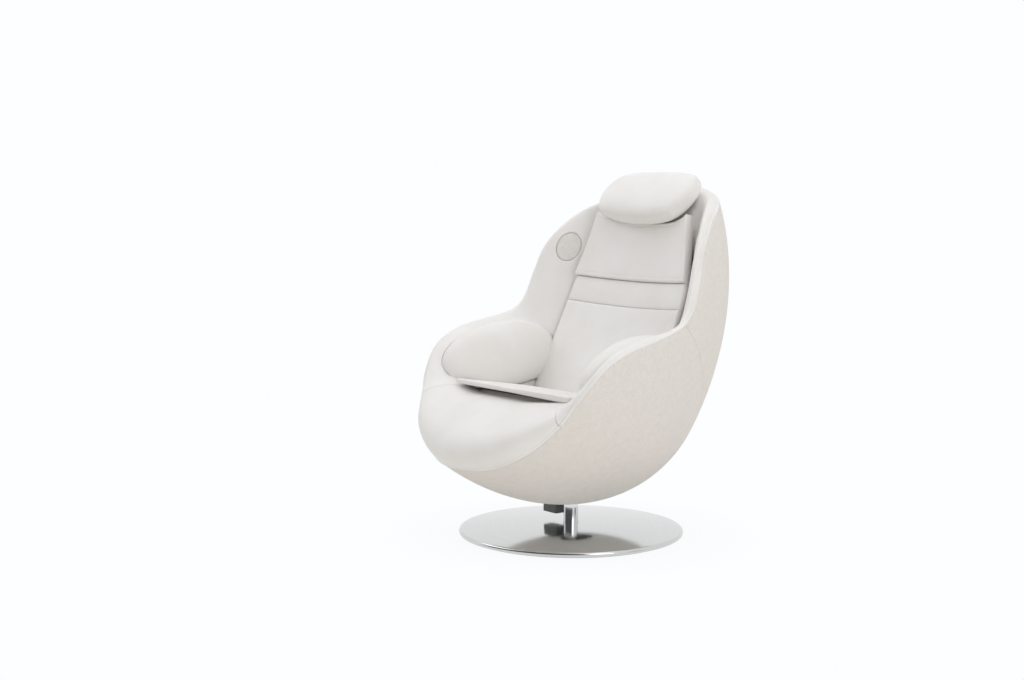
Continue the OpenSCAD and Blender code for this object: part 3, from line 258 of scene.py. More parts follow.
def mat_grid(across, s, h):
    """Points of the mat: across from -1 to 1, s up its curve, and h mm off its dished face."""
    along = unit(mat_curve(s + .05) - mat_curve(s - .05))
    dish = MAT_DISH * smooth(grow(s, 0, .3)) * (1 - across ** 2)
    low = MAT_FOOT_W + (MAT_BAND_W - MAT_FOOT_W) * 2 * s
    w = np.where(s < .5, low, MAT_BAND_W + (MAT_TOP_W - MAT_BAND_W) * (2 * s - 1))
    p = mat_curve(s) + np.stack([-along[..., 1], along[..., 0]], -1) * (h - dish)[..., None]
    return np.stack([across * w, p[..., 0], p[..., 1]], -1)


# Grids of points and the meshes made from them
def stations(length, step, near):
    """Shares from 0 to 1 for a way of that length: close together at both ends, at the given distances."""
    near = np.array(near, float) / length
    count = max(2, round((1 - 2 * near[-1]) * length / step))
    middle = np.linspace(near[-1], 1 - near[-1], count + 1)[1:-1]
    return np.concatenate([near, middle, 1 - near[::-1]])


# Distances of the first rows from a rounded edge, and from one with a sewn line beside it
EDGE = (0, .5, 1.1, 1.9, 3, 4.4)
HEM = (0, .5, 1.1, 1.9, 3, 4.4, 6, 7.4, 8.2, 8.8, 9.4, 10, 10.6, 11.4, 13)


def grid_normals(g):
    return unit(np.cross(np.gradient(g, axis=0), np.gradient(g, axis=1)))


def edge_distance(g, axis, end):
    """Length along the grid from one edge, for each point."""
    step = np.linalg.norm(np.diff(g, axis=axis), axis=-1)
    zero = np.zeros_like(step.take([0], axis=axis))
    if end:
        far = np.flip(np.cumsum(np.flip(step, axis), axis), axis)
        return np.concatenate([far, zero], axis)
    return np.concatenate([zero, np.cumsum(step, axis)], axis)


def side_distance(g, axis):
    """Length along the grid from the nearer of two opposite edges, for each point."""
    return np.minimum(edge_distance(g, axis, False), edge_distance(g, axis, True))


def rolled(d, width, depth):
    """How far a rounded edge lies back at distance d from it."""
    t = np.clip(1 - d / width, 0, 1)
    return depth * (1 - np.sqrt(np.maximum(1 - t ** 2, 0)))


def groove(d, place, width, depth):
    return depth * np.exp(-((d - place) / width) ** 2)


def mesh_object(name, points, faces):
    mesh = bpy.data.meshes.new(name)
    mesh.from_pydata((np.asarray(points) * .001).tolist(), [], faces)
    mesh.validate()
    ob = bpy.data.objects.new(name, mesh)
    scene.collection.objects.link(ob)
    shade_smooth(ob)
    return ob


def shade_smooth(ob):
    ob.data.polygons.foreach_set("use_smooth", [True] * len(ob.data.polygons))
    ob.data.update()


def grid_faces(rows, cols, turned=False, start=0, ring=False):
    i = np.arange(rows if ring else rows - 1)[:, None]
    j = np.arange(cols - 1)[None, :]
    n = (i + 1) % rows
    quads = np.stack([i * cols + j, n * cols + j, n * cols + j + 1, i * cols + j + 1], -1)
    quads = quads.reshape(-1, 4) + start
    return quads[:, ::-1].tolist() if turned else quads.tolist()


def closed_grid(name, front, back):
    """Closed skin between two grids of points."""
    rows, cols = front.shape[:2]
    n = rows * cols
    faces = grid_faces(rows, cols) + grid_faces(rows, cols, True, n)
    for i in range(rows - 1):
        a = i * cols
        b = a + cols
        faces.append([a, n + a, n + b, b])
        a += cols - 1
        b += cols - 1
        faces.append([a, b, n + b, n + a])
    for j in range(cols - 1):
        faces.append([j, j + 1, n + j + 1, n + j])
        a = (rows - 1) * cols + j
        faces.append([a, n + a, n + a + 1, a + 1])
    return mesh_object(name, np.concatenate([front.reshape(-1, 3), back.reshape(-1, 3)]), faces)


def lathe(name, profile, segments, matrix=np.eye(3), centre=np.zeros(3)):
    """Closed profile of radius and height, turned round the local Z axis."""
    a = np.linspace(0, 2 * math.pi, segments, endpoint=False)[:, None]
    r = profile[None, :, 0]
    z = np.broadcast_to(profile[None, :, 1], (segments, len(profile)))
    g = np.stack([r * np.cos(a), r * np.sin(a), z], -1) @ matrix.T + centre
    return mesh_object(name, g.reshape(-1, 3), grid_faces(segments, len(profile), False, 0, True))


def mirrored(ob, name):
    mesh = ob.data.copy()
    mesh.name = name
    twin = bpy.data.objects.new(name, mesh)
    scene.collection.objects.link(twin)
    set_coords(twin, coords(twin) * [-1, 1, 1])
    mesh.flip_normals()
    return twin


def coords(ob):
    co = np.empty(len(ob.data.vertices) * 3)
    ob.data.vertices.foreach_get("co", co)
    return co.reshape(-1, 3)


def set_coords(ob, co):
    ob.data.vertices.foreach_set("co", np.asarray(co, float).ravel())
    ob.data.update()


def ripple(points, size, seed):
    """Smooth noise between -1 and 1 at each point, of a given size in mm."""
    flat = points.reshape(-1, 3) / size + seed
    return np.array([noise.noise(Vector(p)) for p in flat.tolist()]).reshape(points.shape[:-1])


# Node materials
def new_material(name):
    material = bpy.data.materials.new(name)
    material.use_nodes = True
    tree = material.node_tree
    tree.nodes.clear()
    out = tree.nodes.new("ShaderNodeOutputMaterial")
    shader = tree.nodes.new("ShaderNodeBsdfPrincipled")
    tree.links.new(shader.outputs[0], out.inputs[0])
    return material, tree, shader


def add(tree, kind, **values):
    node = tree.nodes.new(kind)
    for key, value in values.items():
        if key in node.inputs:
            node.inputs[key].default_value = value
        else:
            setattr(node, key, value)
    return node


def object_space(tree, scale=(1, 1, 1), rotation=(0, 0, 0)):
    place = add(tree, "ShaderNodeTexCoord")
    mapping = add(tree, "ShaderNodeMapping", Scale=scale, Rotation=rotation)
    tree.links.new(place.outputs["Object"], mapping.inputs["Vector"])
    return mapping.outputs[0]


def tex_noise(tree, vec, scale, detail, rough, distortion=0.0):
    node = add(tree, "ShaderNodeTexNoise", Scale=scale, Detail=detail, Roughness=rough,
               Distortion=distortion)
    tree.links.new(vec, node.inputs["Vector"])
    return node.outputs["Fac"]


def ramp(tree, fac, stops):
    node = add(tree, "ShaderNodeValToRGB")
    elements = node.color_ramp.elements
    while len(elements) < len(stops):
        elements.new(.5)
    for element, (place, colour) in zip(elements, stops):
        element.position = place
        element.color = (*colour, 1)
    tree.links.new(fac, node.inputs[0])
    return node.outputs[0]


def remap(tree, fac, low, high, first, last):
    node = add(tree, "ShaderNodeMapRange")
    for i, value in enumerate((low, high, first, last)):
        node.inputs[i + 1].default_value = value
    tree.links.new(fac, node.inputs[0])
    return node.outputs[0]


def math_node(tree, operation, *values):
    node = add(tree, "ShaderNodeMath", operation=operation)
    for i, value in enumerate(values):
        if isinstance(value, (int, float)):
            node.inputs[i].default_value = value
        else:
            tree.links.new(value, node.inputs[i])
    return node.outputs[0]


def bump(tree, shader, height, strength, distance, before=None):
    node = add(tree, "ShaderNodeBump", Strength=strength, Distance=distance)
    tree.links.new(height, node.inputs["Height"])
    if before is not None:
        tree.links.new(before, node.inputs["Normal"])
    tree.links.new(node.outputs[0], shader.inputs["Normal"])


def mixed(tree, share, first, second):
    node = add(tree, "ShaderNodeMixShader")
    for i, link in enumerate((share, first, second)):
        tree.links.new(link, node.inputs[i])
    return node.outputs[0]


def srgb(r, g, b):
    return tuple(((c / 255 + .055) / 1.055) ** 2.4 for c in (r, g, b))


def leather(name, light, dark):
    """Smooth leather: fine pebble grain with pores, soft creases and slightly uneven tone."""
    material, tree, shader = new_material(name)
    vec = object_space(tree)
    tone = tex_noise(tree, vec, 9, 3, .55)
    tree.links.new(ramp(tree, tone, [(.3, dark), (.7, light)]), shader.inputs["Base Color"])
    grain = add(tree, "ShaderNodeTexVoronoi", Scale=720.0, feature="DISTANCE_TO_EDGE")
    tree.links.new(vec, grain.inputs["Vector"])
    pebble = remap(tree, grain.outputs["Distance"], 0, .22, 0, 1)
    pores = tex_noise(tree, vec, 1500, 2, .6)
    fine = math_node(tree, "ADD", pebble, math_node(tree, "MULTIPLY", pores, .35))
    crease = add(tree, "ShaderNodeBump", Strength=.09, Distance=.004)
    tree.links.new(tex_noise(tree, vec, 34, 5, .6, .6), crease.inputs["Height"])
    bump(tree, shader, fine, .2, .0004, crease.outputs[0])
    tree.links.new(remap(tree, tone, .3, .7, .52, .44), shader.inputs["Roughness"])
    shader.inputs["Specular IOR Level"].default_value = .4
    shader.inputs["Sheen Weight"].default_value = .05
    shader.inputs["Sheen Roughness"].default_value = .5
    return material


def melange(name, light, mid, dark):
    """Woven melange cloth: a fine basket weave of flecked yarns, a little uneven from place to place."""
    material, tree, shader = new_material(name)
    vec = object_space(tree)
    fleck = tex_noise(tree, vec, 900, 2, .6)
    slub = tex_noise(tree, object_space(tree, (1, 1, .35)), 420, 3, .6)
    patch = tex_noise(tree, vec, 60, 3, .6)
    both = math_node(tree, "MULTIPLY", math_node(tree, "ADD", fleck, slub), .4)
    both = math_node(tree, "ADD", both, math_node(tree, "MULTIPLY", patch, .2))
    tree.links.new(ramp(tree, both, [(.36, dark), (.5, mid), (.64, light)]), shader.inputs["Base Color"])
    height = None
    for turn in ((0, 0, .6), (0, 0, -.75), (.9, .5, .1)):
        wave = add(tree, "ShaderNodeTexWave", Scale=300.0, Distortion=1.2, Detail=1.0)
        tree.links.new(object_space(tree, (1, 1, 1), turn), wave.inputs["Vector"])
        yarn = wave.outputs["Fac"]
        height = yarn if height is None else math_node(tree, "MAXIMUM", height, yarn)
    height = math_node(tree, "ADD", height, fleck)
    bump(tree, shader, height, .35, .0006)
    shader.inputs["Roughness"].default_value = .92
    shader.inputs["Specular IOR Level"].default_value = .16
    shader.inputs["Sheen Weight"].default_value = .2
    shader.inputs["Sheen Roughness"].default_value = .6
    return material


def brushed_disc(name):
    """Stainless steel, brushed round the axis."""
    material, tree, shader = new_material(name)
    place = add(tree, "ShaderNodeTexCoord")
    split = add(tree, "ShaderNodeSeparateXYZ")
    tree.links.new(place.outputs["Object"], split.inputs[0])
    x, y = split.outputs[0], split.outputs[1]
    squares = math_node(tree, "ADD", math_node(tree, "MULTIPLY", x, x), math_node(tree, "MULTIPLY", y, y))
    vec = add(tree, "ShaderNodeCombineXYZ")
    tree.links.new(math_node(tree, "MULTIPLY", math_node(tree, "SQRT", squares), 1100), vec.inputs[0])
    tree.links.new(math_node(tree, "MULTIPLY", math_node(tree, "ARCTAN2", y, x), 1.6), vec.inputs[1])
    lines = tex_noise(tree, vec.outputs[0], 1, 3, .6)
    tone = ramp(tree, lines, [(.25, srgb(196, 197, 196)), (.75, srgb(212, 213, 212))])
    tree.links.new(tone, shader.inputs["Base Color"])
    tree.links.new(remap(tree, lines, .2, .8, .1, .14), shader.inputs["Roughness"])
    shader.inputs["Metallic"].default_value = 1
    shader.inputs["Anisotropic"].default_value = .3
    tangent = add(tree, "ShaderNodeTangent", direction_type="RADIAL", axis="Z")
    tree.links.new(tangent.outputs[0], shader.inputs["Tangent"])
    bump(tree, shader, lines, .05, .0002)
    return material


def metal(name, light, dark, rough, strength=.06, metallic=1.0, coat=0.0):
    material, tree, shader = new_material(name)
    lines = tex_noise(tree, object_space(tree, (1, 1, .04)), 240, 3, .6)
    tree.links.new(ramp(tree, lines, [(.3, dark), (.7, light)]), shader.inputs["Base Color"])
    tree.links.new(remap(tree, lines, .3, .7, rough * .8, rough * 1.25), shader.inputs["Roughness"])
    shader.inputs["Metallic"].default_value = metallic
    shader.inputs["Coat Weight"].default_value = coat
    bump(tree, shader, lines, strength, .0004)
    return material


def plastic(name, light, dark, rough, scale=900, strength=.18):
    material, tree, shader = new_material(name)
    vec = object_space(tree)
    broad = tex_noise(tree, vec, 22, 3, .5)
    tree.links.new(ramp(tree, broad, [(.35, dark), (.65, light)]), shader.inputs["Base Color"])
    tree.links.new(remap(tree, broad, .3, .7, rough * .9, rough * 1.12), shader.inputs["Roughness"])
    bump(tree, shader, tex_noise(tree, vec, scale, 3, .6), strength, .0004)
    return material


def wood(name):
    material, tree, shader = new_material(name)
    rings = add(tree, "ShaderNodeTexWave", Scale=3.0, Distortion=4.0, Detail=3.0, bands_direction="Z")
    tree.links.new(object_space(tree, (3, 3, 60)), rings.inputs["Vector"])
    tone = ramp(tree, rings.outputs["Fac"], [(.2, srgb(176, 140, 96)), (.8, srgb(212, 180, 134))])
    tree.links.new(tone, shader.inputs["Base Color"])
    shader.inputs["Roughness"].default_value = .6
    bump(tree, shader, rings.outputs["Fac"], .1, .0004)
    return material


def foam(name, light, dark):
    material, tree, shader = new_material(name)
    cells = add(tree, "ShaderNodeTexVoronoi", Scale=420.0)
    tree.links.new(object_space(tree), cells.inputs["Vector"])
    tone = ramp(tree, cells.outputs["Distance"], [(.1, dark), (.6, light)])
    tree.links.new(tone, shader.inputs["Base Color"])
    shader.inputs["Roughness"].default_value = .95
    bump(tree, shader, cells.outputs["Distance"], .5, .001)
    return material


MATERIALS = {
    "padded_leather": leather("ivory_leather", srgb(240, 238, 236), srgb(235, 232, 228)),
    "melange_fabric": melange("melange_cloth", srgb(236, 232, 227), srgb(230, 225, 219),
                              srgb(220, 213, 205)),
    "grille_cloth": melange("grille_cloth", srgb(234, 232, 229), srgb(228, 224, 220), srgb(216, 211, 205)),
    "brushed_disc": brushed_disc("brushed_disc_steel"),
    "chrome_tube": metal("polished_chrome", srgb(226, 227, 228), srgb(214, 215, 217), .05, .01),
    "dark_steel": metal("black_painted_steel", srgb(52, 53, 55), srgb(38, 39, 41), .45, .06, .2, .1),
    "zinc_steel": metal("zinc_plated_steel", srgb(198, 200, 203), srgb(170, 172, 176), .32),
    "black_rubber": plastic("black_rubber", srgb(40, 40, 41), srgb(28, 28, 29), .85),
    "roller_rubber": plastic("roller_rubber", srgb(132, 90, 62), srgb(112, 74, 50), .7),
    "acetal": plastic("white_acetal", srgb(236, 233, 224), srgb(224, 221, 212), .38),
    "moulded_shell": plastic("moulded_shell_plastic", srgb(92, 88, 82), srgb(72, 69, 64), .75, 500, .3),
    "dark_plastic": plastic("dark_plastic", srgb(58, 60, 61), srgb(44, 46, 47), .5),
    "box_plastic": plastic("box_plastic", srgb(92, 98, 95), srgb(78, 84, 82), .42),
    "plywood": wood("plywood_birch"),
    "foam": foam("cut_foam", srgb(150, 144, 134), srgb(112, 107, 99)),
}
slots = {part["node"]: part["material_slot"] for part in frame["record"]["subparts"]}
for name, ob in nodes.items():
    ob.data.materials.clear()
    ob.data.materials.append(MATERIALS[slots[name]])


def dress(ob, body, slot, *stands_for, material=None):
    """Gives a new piece the material of its slot, puts it on its body, and hides the CAD nodes that it
    stands for.
    """
    ob.data.materials.clear()
    ob.data.materials.append(MATERIALS[material or slot])
    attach(ob, body)
    if stands_for:
        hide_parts(*stands_for)
    return ob


# Fabric covers outside the shell, with their edges turned in
CLOTH_T = 2.8
COVER_ROUND = 1500
COVER_DOWN = 780
# How wide and how deep an edge turns in: at the side seams, and at the rim and the slot
SEAM_TURN = (4.2, 2.6)
RIM_TURN = (2.6, 2.4)


def cover(name, first, last, node):
    """Cloth between two entries of the rim, which go on past LAST down the other side of the shell."""
    us = (first + (last - first) * stations(COVER_ROUND, 14, EDGE)) % (2 * LAST)
    other = us > LAST
    us = np.where(other, 2 * LAST - us, us)
    u, t = np.meshgrid(us, stations(COVER_DOWN, 9, EDGE), indexing="ij")
    out = shell_point(u, t)
    inner = shell_point(u, t, CLOTH_T)
    depth = np.maximum(rolled(side_distance(out, 0), *SEAM_TURN), rolled(side_distance(out, 1), *RIM_TURN))
    out = out - shell_normal(out) * depth[..., None]
    for g in (out, inner):
        g[other, :, 0] *= -1
    return dress(closed_grid(name, out, inner), "shell", "melange_fabric", node)


cover("cover_front_cloth", -SEAM_KNOT, SEAM_KNOT, "cover_front")
cover("cover_back_cloth", SEAM_KNOT, 2 * LAST - SEAM_KNOT, "cover_back")


# Stuffed pieces. A pad starts as a grid of cells at a share of its size. Its mesh, made of voxels (m), is
# blown up by a pressure to a bulge of so many mm at most, and held from a share of its half size outwards
PAD_CELLS = 32
PLAN_BEFORE = .99
HEIGHT_BEFORE = .84
VOXEL = .005
PRESSURE = 3.5
MOST_BULGE = 24
HELD_FROM = .955
# The seam round a pad: how wide and deep it draws in, and the shares of the half size that it grows over
DRAWN_IN = (2, 1.4)
DRAWN_FROM = .8
DRAWN_FULL = .94


def rot(axis, deg):
    a = math.radians(deg)
    i, j = [(1, 2), (2, 0), (0, 1)]["xyz".index(axis)]
    m = np.eye(3)
    m[i, i] = m[j, j] = math.cos(a)
    m[i, j] = -math.sin(a)
    m[j, i] = math.sin(a)
    return m


def apply_all(ob):
    """Puts the mesh that the modifiers give in the place of the object's own."""
    graph = bpy.context.evaluated_depsgraph_get()
    graph.update()
    mesh = bpy.data.meshes.new_from_object(ob.evaluated_get(graph))
    old = ob.data
    ob.modifiers.clear()
    ob.data = mesh
    bpy.data.meshes.remove(old)


def plan_round(u, v, share, corner):
    """How round a pad's plan is at a place of its square: less so towards one corner."""
    return share - corner * np.clip(u, 0, 1) * np.clip(v, 0, 1)


def plan_square(x, y, share, corner):
    """Where a place of a pad's plan, in half sizes, lies in the square that the plan was rounded from."""
    u, v = x.copy(), y.copy()
    for _ in range(14):
        u = x / np.sqrt(np.maximum(1 - plan_round(u, v, share, corner) * v ** 2 / 2, .2))
        v = y / np.sqrt(np.maximum(1 - plan_round(u, v, share, corner) * u ** 2 / 2, .2))
    return u, v


def inflate(ob, pressure, frames, cap, held):
    """Short cloth run with inner pressure; the held points stay, and none moves further than cap (mm)."""
    start = coords(ob)
    group = ob.vertex_groups.new(name="held")
    group.add(np.flatnonzero(held).tolist(), 1.0, "REPLACE")
    cloth = ob.modifiers.new("Cloth", "CLOTH")
    settings = cloth.settings
    settings.quality = 6
    settings.mass = .25
    settings.tension_stiffness = settings.compression_stiffness = 18
    settings.shear_stiffness = 9
    settings.bending_stiffness = 2.5
    settings.use_pressure = True
    settings.uniform_pressure_force = pressure
    settings.effector_weights.gravity = 0
    settings.vertex_group_mass = "held"
    cloth.collision_settings.use_collision = False
    cloth.point_cache.frame_start = 1
    cloth.point_cache.frame_end = frames
    for f in range(1, frames + 1):
        scene.frame_set(f)
    done = ob.evaluated_get(bpy.context.evaluated_depsgraph_get())
    end = np.empty(len(done.data.vertices) * 3)
    done.data.vertices.foreach_get("co", end)
    ob.modifiers.remove(cloth)
    scene.frame_set(1)
    move = end.reshape(-1, 3) - start
    length = np.linalg.norm(move, axis=1, keepdims=True)
    limit = cap * .001
    set_coords(ob, start + move * (limit * np.tanh(length / limit) / np.maximum(length, 1e-9)))


def stuffed(name, half, seam, share, power, matrix, centre, frames, dish=0, top=0, corner=0, seam_at=0):
    """Crowned cushion: a lens over a rounded plan, blown up as cloth and fitted to its box, with a seam.

    half holds its half sizes, seam its height at the edge, share how round its plan is, and power how
    full its crown is. dish lifts its sides, corner makes one corner squarer, top adds to the height of its
    box, and seam_at is the seam's height.
    """
    half = np.array(half, float)
    s = np.sin(np.radians(90 * (2 * np.arange(PAD_CELLS + 1) / PAD_CELLS - 1)))
    u, v = np.meshgrid(s, s, indexing="ij")
    x = u * np.sqrt(1 - plan_round(u, v, share, corner) * v ** 2 / 2)
    y = v * np.sqrt(1 - plan_round(u, v, share, corner) * u ** 2 / 2)
    crown = np.sqrt((1 - np.abs(u) ** power) * (1 - np.abs(v) ** power))
    h = seam / 2 + (half[2] * HEIGHT_BEFORE - seam / 2) * crown
    plan = [x * half[0] * PLAN_BEFORE, y * half[1] * PLAN_BEFORE]
    sides = [np.stack([*plan, side * h + dish * x ** 2], -1) @ matrix.T + centre for side in (1, -1)]
    ob = closed_grid(name, *sides)
    remesh = ob.modifiers.new("Remesh", "REMESH")
    remesh.mode = "VOXEL"
    remesh.voxel_size = VOXEL
    apply_all(ob)
    p = (coords(ob) * 1000 - centre) @ matrix
    u, v = plan_square(p[:, 0] / half[0], p[:, 1] / half[1], share, corner)
    inflate(ob, PRESSURE, frames, MOST_BULGE, np.maximum(np.abs(u), np.abs(v)) > HELD_FROM)
    soft = ob.modifiers.new("Smooth", "SMOOTH")
    soft.iterations = 10
    soft.factor = .5
    fine = ob.modifiers.new("Subdivision", "SUBSURF")
    fine.levels = 1
    apply_all(ob)
    shade_smooth(ob)
    p = (coords(ob) * 1000 - centre) @ matrix
    low, high = p.min(0), p.max(0)
    box_low = -half
    box_high = half + [0, 0, top]
    p = (p - (low + high) / 2) * ((box_high - box_low) / (high - low)) + (box_high + box_low) / 2
    x, y = p[:, 0] / half[0], p[:, 1] / half[1]
    u, v = plan_square(x, y, share, corner)
    rim = grow(np.maximum(np.abs(u), np.abs(v)), DRAWN_FROM, DRAWN_FULL)
    inward = unit(np.stack([x / half[0], y / half[1], np.zeros_like(x)], -1) + 1e-12)
    p -= inward * (rim * groove(p[:, 2] - dish * x ** 2, seam_at, *DRAWN_IN))[:, None]
    set_coords(ob, (p @ matrix.T + centre) * .001)
    return ob


def padded(ob, fill, body, *stands_for):
    dress(ob, body, "padded_leather", *stands_for)
    return ob


BOLSTER_M = rot("z", 6) @ rot("x", 8.5) @ rot("y", 98.5)
BOLSTER_IN = 92
BOLSTER_C = np.array([HALF_W - BOLSTER_IN, -33.0, 458.0])
bolster = stuffed("bolster_left_leather", (93, 178, 50), seam=18, share=1.0, power=2, matrix=BOLSTER_M,
                  centre=BOLSTER_C, frames=20, corner=.95)
padded(mirrored(bolster, "bolster_right_leather"), .8, "shell", "bolster_right")
padded(bolster, .8, "shell", "bolster_left")

SLOPE = math.degrees(math.atan2(SEAT_FRONT_Z - CREASE_Z, CREASE_Y - SEAT_FRONT_Y))
SEAT_M = rot("x", -SLOPE)
SEAT_GAP = .4
SEAT_HALF_L = (math.hypot(SEAT_FRONT_Z - CREASE_Z, CREASE_Y - SEAT_FRONT_Y) - SEAT_GAP) / 2
SEAT_C = np.array([0, CREASE_Y, CREASE_Z]) + SEAT_M @ np.array([0, -SEAT_GAP - SEAT_HALF_L, -MAT_T / 2])
SEAT_BULGE = 3
seat = stuffed("seat_pad_leather", (SEAT_HALF + SEAT_BULGE, SEAT_HALF_L, MAT_T / 2), seam=12, share=.14,
               power=4, matrix=SEAT_M, centre=SEAT_C, frames=8, top=2)
# The front edge sags under its seam, and more towards the sitter's left, as in the photo
SAG = 3
SAG_LEFT = 6
SAG_FROM_Y = -170
SAG_FULL_Y = -200
SAG_LEFT_X = 200
SAG_TOP = 4
SAG_UNDER = -8
place = coords(seat) * 1000
sag = grow(place[:, 1], SAG_FROM_Y, SAG_FULL_Y) * (SAG + SAG_LEFT * grow(place[:, 0], 0, SAG_LEFT_X))
place[:, 2] -= sag * grow(((place - SEAT_C) @ SEAT_M)[:, 2], SAG_TOP, SAG_UNDER)
set_coords(seat, place * .001)
padded(seat, .9, "shell", "seat_pad")

PILLOW_M = rot("x", 41)
PILLOW_IN = 164.63
PILLOW_DOWN = 18.43
PILLOW_C = CROWN - [0, PILLOW_IN, PILLOW_DOWN]
pillow = stuffed("head_pillow_leather", (166, 85, 40), seam=22, share=.6, power=3, matrix=PILLOW_M,
                 centre=PILLOW_C, frames=20, dish=9, top=8, seam_at=9)
padded(pillow, .8, "pillow", "head_pillow")


# Leather liners and lip: one roll from the rim to the well, with a piped edge
def hug(points, ob, way, pull):
    """Moves points out of a cushion's back to 1 mm off it, and draws those within pull mm nearer to it."""
    tree = BVHTree.FromPolygons(coords(ob).tolist(), [p.vertices[:] for p in ob.data.polygons])
    flat = points.reshape(-1, 3) * .001
    low = coords(ob).min(0) - pull * .001
    high = coords(ob).max(0) + pull * .001
    moved = np.zeros(len(flat), bool)
    for i in np.flatnonzero(((flat > low) & (flat < high)).all(1)):
        p = Vector(flat[i])
        near, normal, _, _ = tree.find_nearest(p)
        off = (p - near).dot(normal)
        gap = (p - near).length * 1000
        behind = tree.ray_cast(p, way)[0] if off < 0 else None
        if behind is not None:
            flat[i] = behind + way * .001
        elif off < .001:
            flat[i] = near + normal * .001
        elif gap < pull:
            flat[i] = near + (p - near) * ((1 + (gap - 1) * gap / pull) / gap)
        else:
            continue
        moved[i] = True
    return flat.reshape(points.shape) * 1000, moved.reshape(points.shape[:-1])


def eased(points, weight, times):
    """Evens out a grid of points where the weight is above 0."""
    for _ in range(times):
        mean = points.copy()
        beside = points[:-2, 1:-1] + points[2:, 1:-1] + points[1:-1, :-2] + points[1:-1, 2:]
        mean[1:-1, 1:-1] = beside / 4
        points = points + (mean - points) * weight[..., None] * .5
    return points


def spread(mask, rings):
    """Weight that falls from 1 in a mask to 0 over some rings of grid points."""
    weight = mask.astype(float)
    for _ in range(rings):
        wide = weight.copy()
        wide[1:] = np.maximum(wide[1:], weight[:-1] - 1 / rings)
        wide[:-1] = np.maximum(wide[:-1], weight[1:] - 1 / rings)
        wide[:, 1:] = np.maximum(wide[:, 1:], weight[:, :-1] - 1 / rings)
        wide[:, :-1] = np.maximum(wide[:, :-1], weight[:, 1:] - 1 / rings)
        weight = wide
    return weight


# Place of the grille on the roll and its own axes
GRILLE_U = 12.4
GRILLE_V = .6
BESIDE = np.array([-.05, 0, .05])
around = liner_grid(GRILLE_U + BESIDE, GRILLE_V + BESIDE)
GRILLE_C = around[1, 1]
GRILLE_N = unit(np.cross(around[2, 1] - around[0, 1], around[1, 2] - around[1, 0]))
GRILLE_UP = np.array([-.24, .45, .86])
GRILLE_UP = unit(GRILLE_UP - GRILLE_N * (GRILLE_UP @ GRILLE_N))
# Its oval is shorter across and longer up
GRILLE_M = np.stack([np.cross(GRILLE_UP, GRILLE_N) * .87, GRILLE_UP * 1.08, GRILLE_N], -1)
# The leather is levelled within a radius, less so near its border, and sunk within a smaller radius
PATCH_R = 52
PATCH_BORDER = 10
PATCH_H = 14
RECESS_R = 40.6
RECESS_BORDER = 2
RECESS_T = 5
# Rows of the roll from the rim to the well, close together at the piping and at the well's edge
LINER_VS = np.concatenate([[0, .0015, .0035], np.arange(.006, .066, .0028), np.arange(.07, .985, .0125),
                           [.985, .992, .9965, 1]])
# How wide and how deep its edges turn in, at the rim and at its ends, and the line sewn beside the piping
PIPED_TURN = (3.2, 2.6)
END_TURN = (4.2, 2.4)
SEWN_LINE = (10.5, 1.5, 1.1)


def leather_roll(us, side=None):
    """The roll's front, with soft waves, end seams with puckers and the piping's line, and its back."""
    front = liner_grid(np.abs(us), LINER_VS)
    back = liner_back_grid(np.abs(us), LINER_VS)
    if side is not None:
        front[..., 0] *= side[:, None]
        back[..., 0] *= side[:, None]
    n = grid_normals(front)
    if n[len(us) // 2, 20] @ (front - back)[len(us) // 2, 20] < 0:
        n = -n
    soft = ripple(front, 130, 3.1) + ripple(front, 48, 7.7) * .3
    from_rim = edge_distance(front, 1, False)
    ends = side_distance(front, 0)
    pucker = np.sin(from_rim / 2.6) * np.exp(-ends / 10) * .3
    depth = np.maximum(rolled(from_rim, *PIPED_TURN), rolled(ends, *END_TURN))
    depth += groove(from_rim, *SEWN_LINE)
    piping = 1.2 * np.clip(1 - (from_rim / 9 - .55) ** 2 * 4, 0, 1)
    height = (soft + pucker) * grow(from_rim, 0, 18) + piping
    return front + n * (height - depth)[..., None], back


# The liner runs on past the well's edge, in under the mat and the seat, and at the crown behind the mat
TUCK = 14
TUCK_ROWS = np.array([.25, .5, .75, 1])[None, :, None]
TUCK_T = np.array([14, 9, 5, 3])[None, :, None]
CROWN_FROM = 13.4
CROWN_FULL = 14.2
BEHIND_S = .805
BEHIND_W = 182
BEHIND_GAP = 4
# How far off the bolster the leather still follows it: at first, and after it is evened out
HUG_WIDE = 24
HUG_CLOSE = 3


